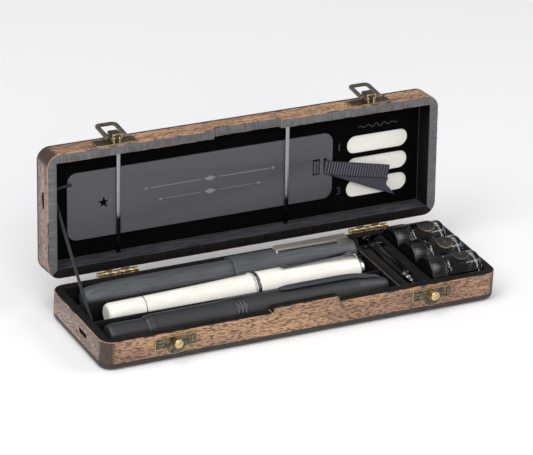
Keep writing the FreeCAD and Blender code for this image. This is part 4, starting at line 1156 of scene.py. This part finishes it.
class PENCASE_OT_ribbon(bpy.types.Operator):
    """Makes the grosgrain pull ribbon with its two tails"""
    bl_idname = "pencase.ribbon"
    bl_label = "Pull ribbon"

    def execute(self, context):
        cloth = grosgrain("violet_grey_grosgrain")
        low_corner = drawn_box("cover_ribbon", True)[0]
        front = low_corner.z
        bm = bmesh.new()
        rib = {}
        slot = low_corner.x + 6.1
        plate = drawn_box("cover_plate", True)[0].z
        # seen in the wide slot, where it passes behind the bridge
        path = smooth_path([(slot - x, 0.2, plate + z) for x, z in
                            ((6.1, 0.85), (5.2, 0.45), (4.1, 0.2), (3.0, 0.4), (2.2, 0.8))], 6)
        self.strip(bm, rib, path, RIBBON_WIDTH - 0.2)
        # the square-ended tail lies over the other one
        reach, lean = Vector((math.cos(0.21), math.sin(0.21), 0)), Vector((slot, 0.5, front))
        tail = ((1, 0.45), (3, 0.3), (10, 0.2), (20, 0.24), (32.5, 0.2))
        path = smooth_path([lean + Vector((-0.45, 0, 1.75)), lean + Vector((-0.1, 0, 1.0)),
                            *[lean + reach * d + Vector((0, 0, h)) for d, h in tail]], 36)
        self.strip(bm, rib, path, RIBBON_WIDTH)
        reach, lean = Vector((math.cos(0.41), math.sin(0.41), 0)), Vector((slot, 0.1, front))
        tail = ((1.2, 0.95), (4, 0.8), (14, 0.75), (26, 0.72), (37.5, 0.6))
        path = smooth_path([lean + Vector((0.2, 0, 1.6)),
                            *[lean + reach * d + Vector((0, 0, h)) for d, h in tail]], 44)
        self.strip(bm, rib, path, RIBBON_WIDTH, True)
        bm.verts.index_update()
        heights = [rib[v] for v in bm.verts]
        obj = piece("pull_ribbon", bm, "cover", [cloth], ["cover_ribbon"], True, 60)
        values = obj.data.attributes.new("rib", "FLOAT", "POINT")
        values.data.foreach_set("value", heights)
        return {"FINISHED"}

    def strip(self, bm, rib, path, width, cut=False):
        """A flat strip with raised cross ribs; a cut end is square on one side and runs to a frayed point."""
        length, across = 0.0, 12
        rows = []
        for n, here in enumerate(path):
            if n:
                length += (here - path[n - 1]).length
            along = (path[min(n + 1, len(path) - 1)] - path[max(n - 1, 0)]).normalized()
            side = Vector((0, 1, 0))
            side = (side - along * side.dot(along)).normalized()
            up = along.cross(side)
            rise = 0.5 + 0.5 * math.cos(2 * math.pi * length / RIB_SPACING)
            t = n / (len(path) - 1)
            row = []
            for face in (1, -1):
                for k in range(across + 1):
                    u = k / across * 2 - 1
                    edge = 1 - 0.35 * max(0, abs(u) - 0.85) / 0.15
                    half = (RIBBON_THICKNESS / 2 + 0.07 * rise) * edge
                    shift = 0.0
                    if cut:
                        end = -4.0 + 6.6 * max(0, u + 0.1) + 0.35 * math.sin(k * 2.7)
                        shift = end * max(0, (t - 0.6) / 0.4)
                    wave = 0.02 * math.sin(k * 1.3 + length)
                    v = bm.verts.new(here + side * (u * width / 2) + up * (face * half + wave) + along * shift)
                    # painted highlight: each rib's height is kept for the colour; the edges get none, so each
                    # tail is outlined dark
                    rib[v] = rise if abs(u) < 0.9 else 0.0
                    row.append(v)
            rows.append(row)
        top, count = across + 1, 2 * (across + 1)
        for one, two in zip(rows, rows[1:]):
            for k in range(across):
                bm.faces.new((one[k], one[k + 1], two[k + 1], two[k]))
                bm.faces.new((one[top + k], two[top + k], two[top + k + 1], one[top + k + 1]))
            bm.faces.new((one[0], two[0], two[top], one[top]))
            bm.faces.new((one[top - 1], one[count - 1], two[count - 1], two[top - 1]))
        for row in (rows[0], rows[-1]):
            for k in range(across):
                bm.faces.new((row[k], row[top + k], row[top + k + 1], row[k + 1]))


# ---- hardware -------------------------------------------------------------------------------------
class PENCASE_OT_hinges(bpy.types.Operator):
    """Makes the two butt hinges"""
    bl_idname = "pencase.hinges"
    bl_label = "Hinges"

    def execute(self, context):
        brass = lacquered_brass("lacquered_hinge_brass")
        screw = lacquered_brass("aged_screw_brass", "#8E744C", "#4E412C", 0.34)
        for node, body, finish, slot in (
                ("hinge_base_leaves", "base", brass, "hinge_brass"),
                ("hinge_lid_leaves", "lid", brass, "hinge_brass"),
                ("hinge_pins", "base", brass, "hinge_brass"),
                ("hinge_base_screws", "base", screw, "screw_brass"),
                ("hinge_lid_screws", "lid", screw, "screw_brass")):
            on_lid = body == "lid"
            bm = soften(traced(node, on_lid), 0.05 if "screws" in node else 0.09, 2, -1, lambda a, b: True, 60)
            piece(node + "_finished", bm, body, [finish], [node], on_lid)
        return {"FINISHED"}


class PENCASE_OT_latches(bpy.types.Operator):
    """Makes the toggle latches and their catches"""
    bl_idname = "pencase.latches"
    bl_label = "Latches"

    def execute(self, context):
        brass = antique_brass("antiqued_brass")
        bail = antique_brass("antiqued_nickel_bail", "#8A8276", "#5B5448")
        stud = lacquered_brass("rubbed_stud_brass", "#DCC596", "#94784A", 0.24)
        edge = rubbed_brass_edge("rubbed_brass_edge")
        screw = antique_brass("antiqued_screw_brass", "#A39478", "#6A5E4A")
        # painted shade: the screws' rounded edges, round the head and along the slot, are drawn near black
        slot_edge = antique_brass("shaded_screw_slot", "#2A241B", "#14110C")
        rows = [("latch_pins", "lid", "antique_brass", [brass, edge], 0.05),
                ("latch_screws", "lid", "screw_brass", [screw, slot_edge], 0.1),
                ("catch_screws", "base", "screw_brass", [screw, slot_edge], 0.1),
                ("catch_studs", "base", "antique_brass", [stud, stud], 0.1)]
        for side in ("left", "right"):
            rows += [(f"{side}_latch_plate", "lid", "antique_brass", [brass, edge], 0.2),
                     (f"{side}_catch_plate", "base", "antique_brass", [brass, edge], 0.2),
                     (f"{side}_latch_lever", f"{side}_lever", "antique_brass", [brass, edge], 0.17),
                     (f"{side}_latch_bail", f"{side}_bail", "antique_brass", [bail, bail], 0.14)]
        for node, body, slot, finish, width in rows:
            on_lid = body != "base"
            bm = soften(traced(node, on_lid), width, 2, 1, lambda a, b: True, 55)
            piece(node + "_finished", bm, body, finish, [node], on_lid)
        return {"FINISHED"}


class PENCASE_OT_stay(bpy.types.Operator):
    """Makes the lid's lace stay, drawn as it runs with the lid open; on the real case it folds as the lid closes
    """
    bl_idname = "pencase.stay"
    bl_label = "Lace stay"

    def execute(self, context):
        lace = waxed_lace("waxed_black_lace")
        _, high_corner = (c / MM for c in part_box("stay_lace"))
        x = high_corner.x - 0.4
        lower = Vector((x, LACE_LINE, rim - SLOT_FROM_RIM))
        upper = LID @ Vector((x, LACE_LINE, rim + SLOT_FROM_RIM))
        out = -half_length + 0.6
        path = smooth_path([(out, lower.y, lower.z), (x - 1.6, lower.y, lower.z),
                            (x - 0.2, lower.y + 0.3, lower.z + 0.5),
                            *[lower.lerp(upper, t) for t in (0.06, 0.25, 0.5, 0.75, 0.94)],
                            (x - 0.2, upper.y, upper.z), (x - 1.6, upper.y, upper.z),
                            (out, upper.y, upper.z)], 8)
        bm = swept(bmesh.new(), path, flat_oval(1.8, 0.7, 16, 2.6), (0.25, -0.6, 0.6))
        obj = piece("lace_stay", bm, None, [lace], ["stay_lace"])
        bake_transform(obj)
        # the loose end inside the lid, over the cover plate's edge
        start = Vector((-inner_x - 0.6, -9.9, rim + SLOT_FROM_RIM))
        path = smooth_path([start, (-inner_x + 1.0, -10.1, rim + 5.6), (-inner_x + 3.6, -10.4, rim + 6.6),
                            (-inner_x + 7.2, -10.9, rim + 6.4), (-inner_x + 9.6, -11.1, rim + 6.3)], 8)
        bm = swept(bmesh.new(), path, flat_oval(1.5, 0.6, 16, 2.6), (0, 1, 0.3))
        piece("lace_tail", bm, "lid", [lace], (), True)
        return {"FINISHED"}


# ---- stage ----------------------------------------------------------------------------------------
class PENCASE_OT_stage(bpy.types.Operator):
    """Makes the pale floor, the soft lights and the camera"""
    bl_idname = "pencase.stage"
    bl_label = "Stage"

    def execute(self, context):
        stage = choice("pen_case_stage")
        scene = context.scene
        scene.view_settings.view_transform = "Standard"
        material, tree, shader = surface("white_sweep", "#EDEDEE", 0.7)
        bm = bmesh.new()
        bmesh.ops.create_grid(bm, x_segments=2, y_segments=2, size=6.0)
        mesh = bpy.data.meshes.new("studio_floor")
        bm.to_mesh(mesh)
        bm.free()
        mesh.materials.append(material)
        ground = bpy.data.objects.new("studio_floor", mesh)
        scene.collection.objects.link(ground)
        world = bpy.data.worlds.new("studio")
        world.use_nodes = True
        world.node_tree.nodes["Background"].inputs["Color"].default_value = tinted("#FAFAFB")
        world.node_tree.nodes["Background"].inputs["Strength"].default_value = 0.3 * stage.light
        scene.world = world
        for name, where, size, power in (
                ("left_softbox", (-1.1, -0.35, 1.2), 0.9, 11.0),
                ("right_softbox", (1.3, -0.4, 1.1), 0.9, 8.5), ("top_softbox", (-0.35, 0.1, 1.5), 0.8, 7.0),
                ("front_softbox", (-0.3, -1.3, 0.9), 1.0, 12.5)):
            light = bpy.data.lights.new(name, "AREA")
            light.shape = "SQUARE"
            light.size = size
            light.energy = power * stage.light
            lamp = bpy.data.objects.new(name, light)
            lamp.location = where
            lamp.rotation_euler = (-Vector(where)).to_track_quat("-Z", "Y").to_euler()
            scene.collection.objects.link(lamp)
        camera = bpy.data.cameras.new("camera")
        camera.lens = stage.lens
        camera.clip_end = 20
        holder = bpy.data.objects.new("camera", camera)
        target = Vector((0.00166, 0.01557, 0.0310))
        turn = (Matrix.Rotation(stage.azimuth, 4, "Z") @ Matrix.Rotation(math.pi / 2 - stage.elevation, 4, "X")
                @ Matrix.Rotation(stage.roll, 4, "Z"))
        holder.matrix_world = Matrix.Translation(target) @ turn @ Matrix.Translation((0, 0, stage.distance))
        scene.collection.objects.link(holder)
        scene.camera = holder
        return {"FINISHED"}


class PENCASE_PT_panel(bpy.types.Panel):
    """Lists the pieces and their settings"""
    bl_idname = "PENCASE_PT_panel"
    bl_label = "Pen case"
    bl_space_type = "VIEW_3D"
    bl_region_type = "UI"
    bl_category = "Pen case"

    def draw(self, context):
        for group in GROUPS.values():
            for name in group.__annotations__:
                self.layout.prop(choice(setting_name(group)), name)
        for operator in OPERATORS:
            self.layout.operator(operator.bl_idname)


GROUPS = {"pen_case_wood": PenCaseWood, "pen_case_contents": PenCaseContents, "pen_case_stage": PenCaseStage}
OPERATORS = (PENCASE_OT_stage, PENCASE_OT_shell, PENCASE_OT_inserts, PENCASE_OT_back_pen, PENCASE_OT_middle_pen,
             PENCASE_OT_front_pen, PENCASE_OT_vials, PENCASE_OT_syringe, PENCASE_OT_lid_inside, PENCASE_OT_ribbon,
             PENCASE_OT_hinges, PENCASE_OT_latches, PENCASE_OT_stay)


def setting_name(group):
    return next(name for name, value in GROUPS.items() if value is group)


def register():
    for group in GROUPS.values():
        bpy.utils.register_class(group)
    for operator in OPERATORS:
        bpy.utils.register_class(operator)
    bpy.utils.register_class(PENCASE_PT_panel)
    for name, group in GROUPS.items():
        setattr(bpy.types.Scene, name, bpy.props.PointerProperty(type=group))


def unregister():
    for name in GROUPS:
        delattr(bpy.types.Scene, name)
    bpy.utils.unregister_class(PENCASE_PT_panel)
    for operator in reversed(OPERATORS):
        bpy.utils.unregister_class(operator)
    for group in reversed(list(GROUPS.values())):
        bpy.utils.unregister_class(group)


def main():
    register()
    for operator in OPERATORS:
        area, name = operator.bl_idname.split(".")
        getattr(getattr(bpy.ops, area), name)()


if __name__ == "__main__":
    main()
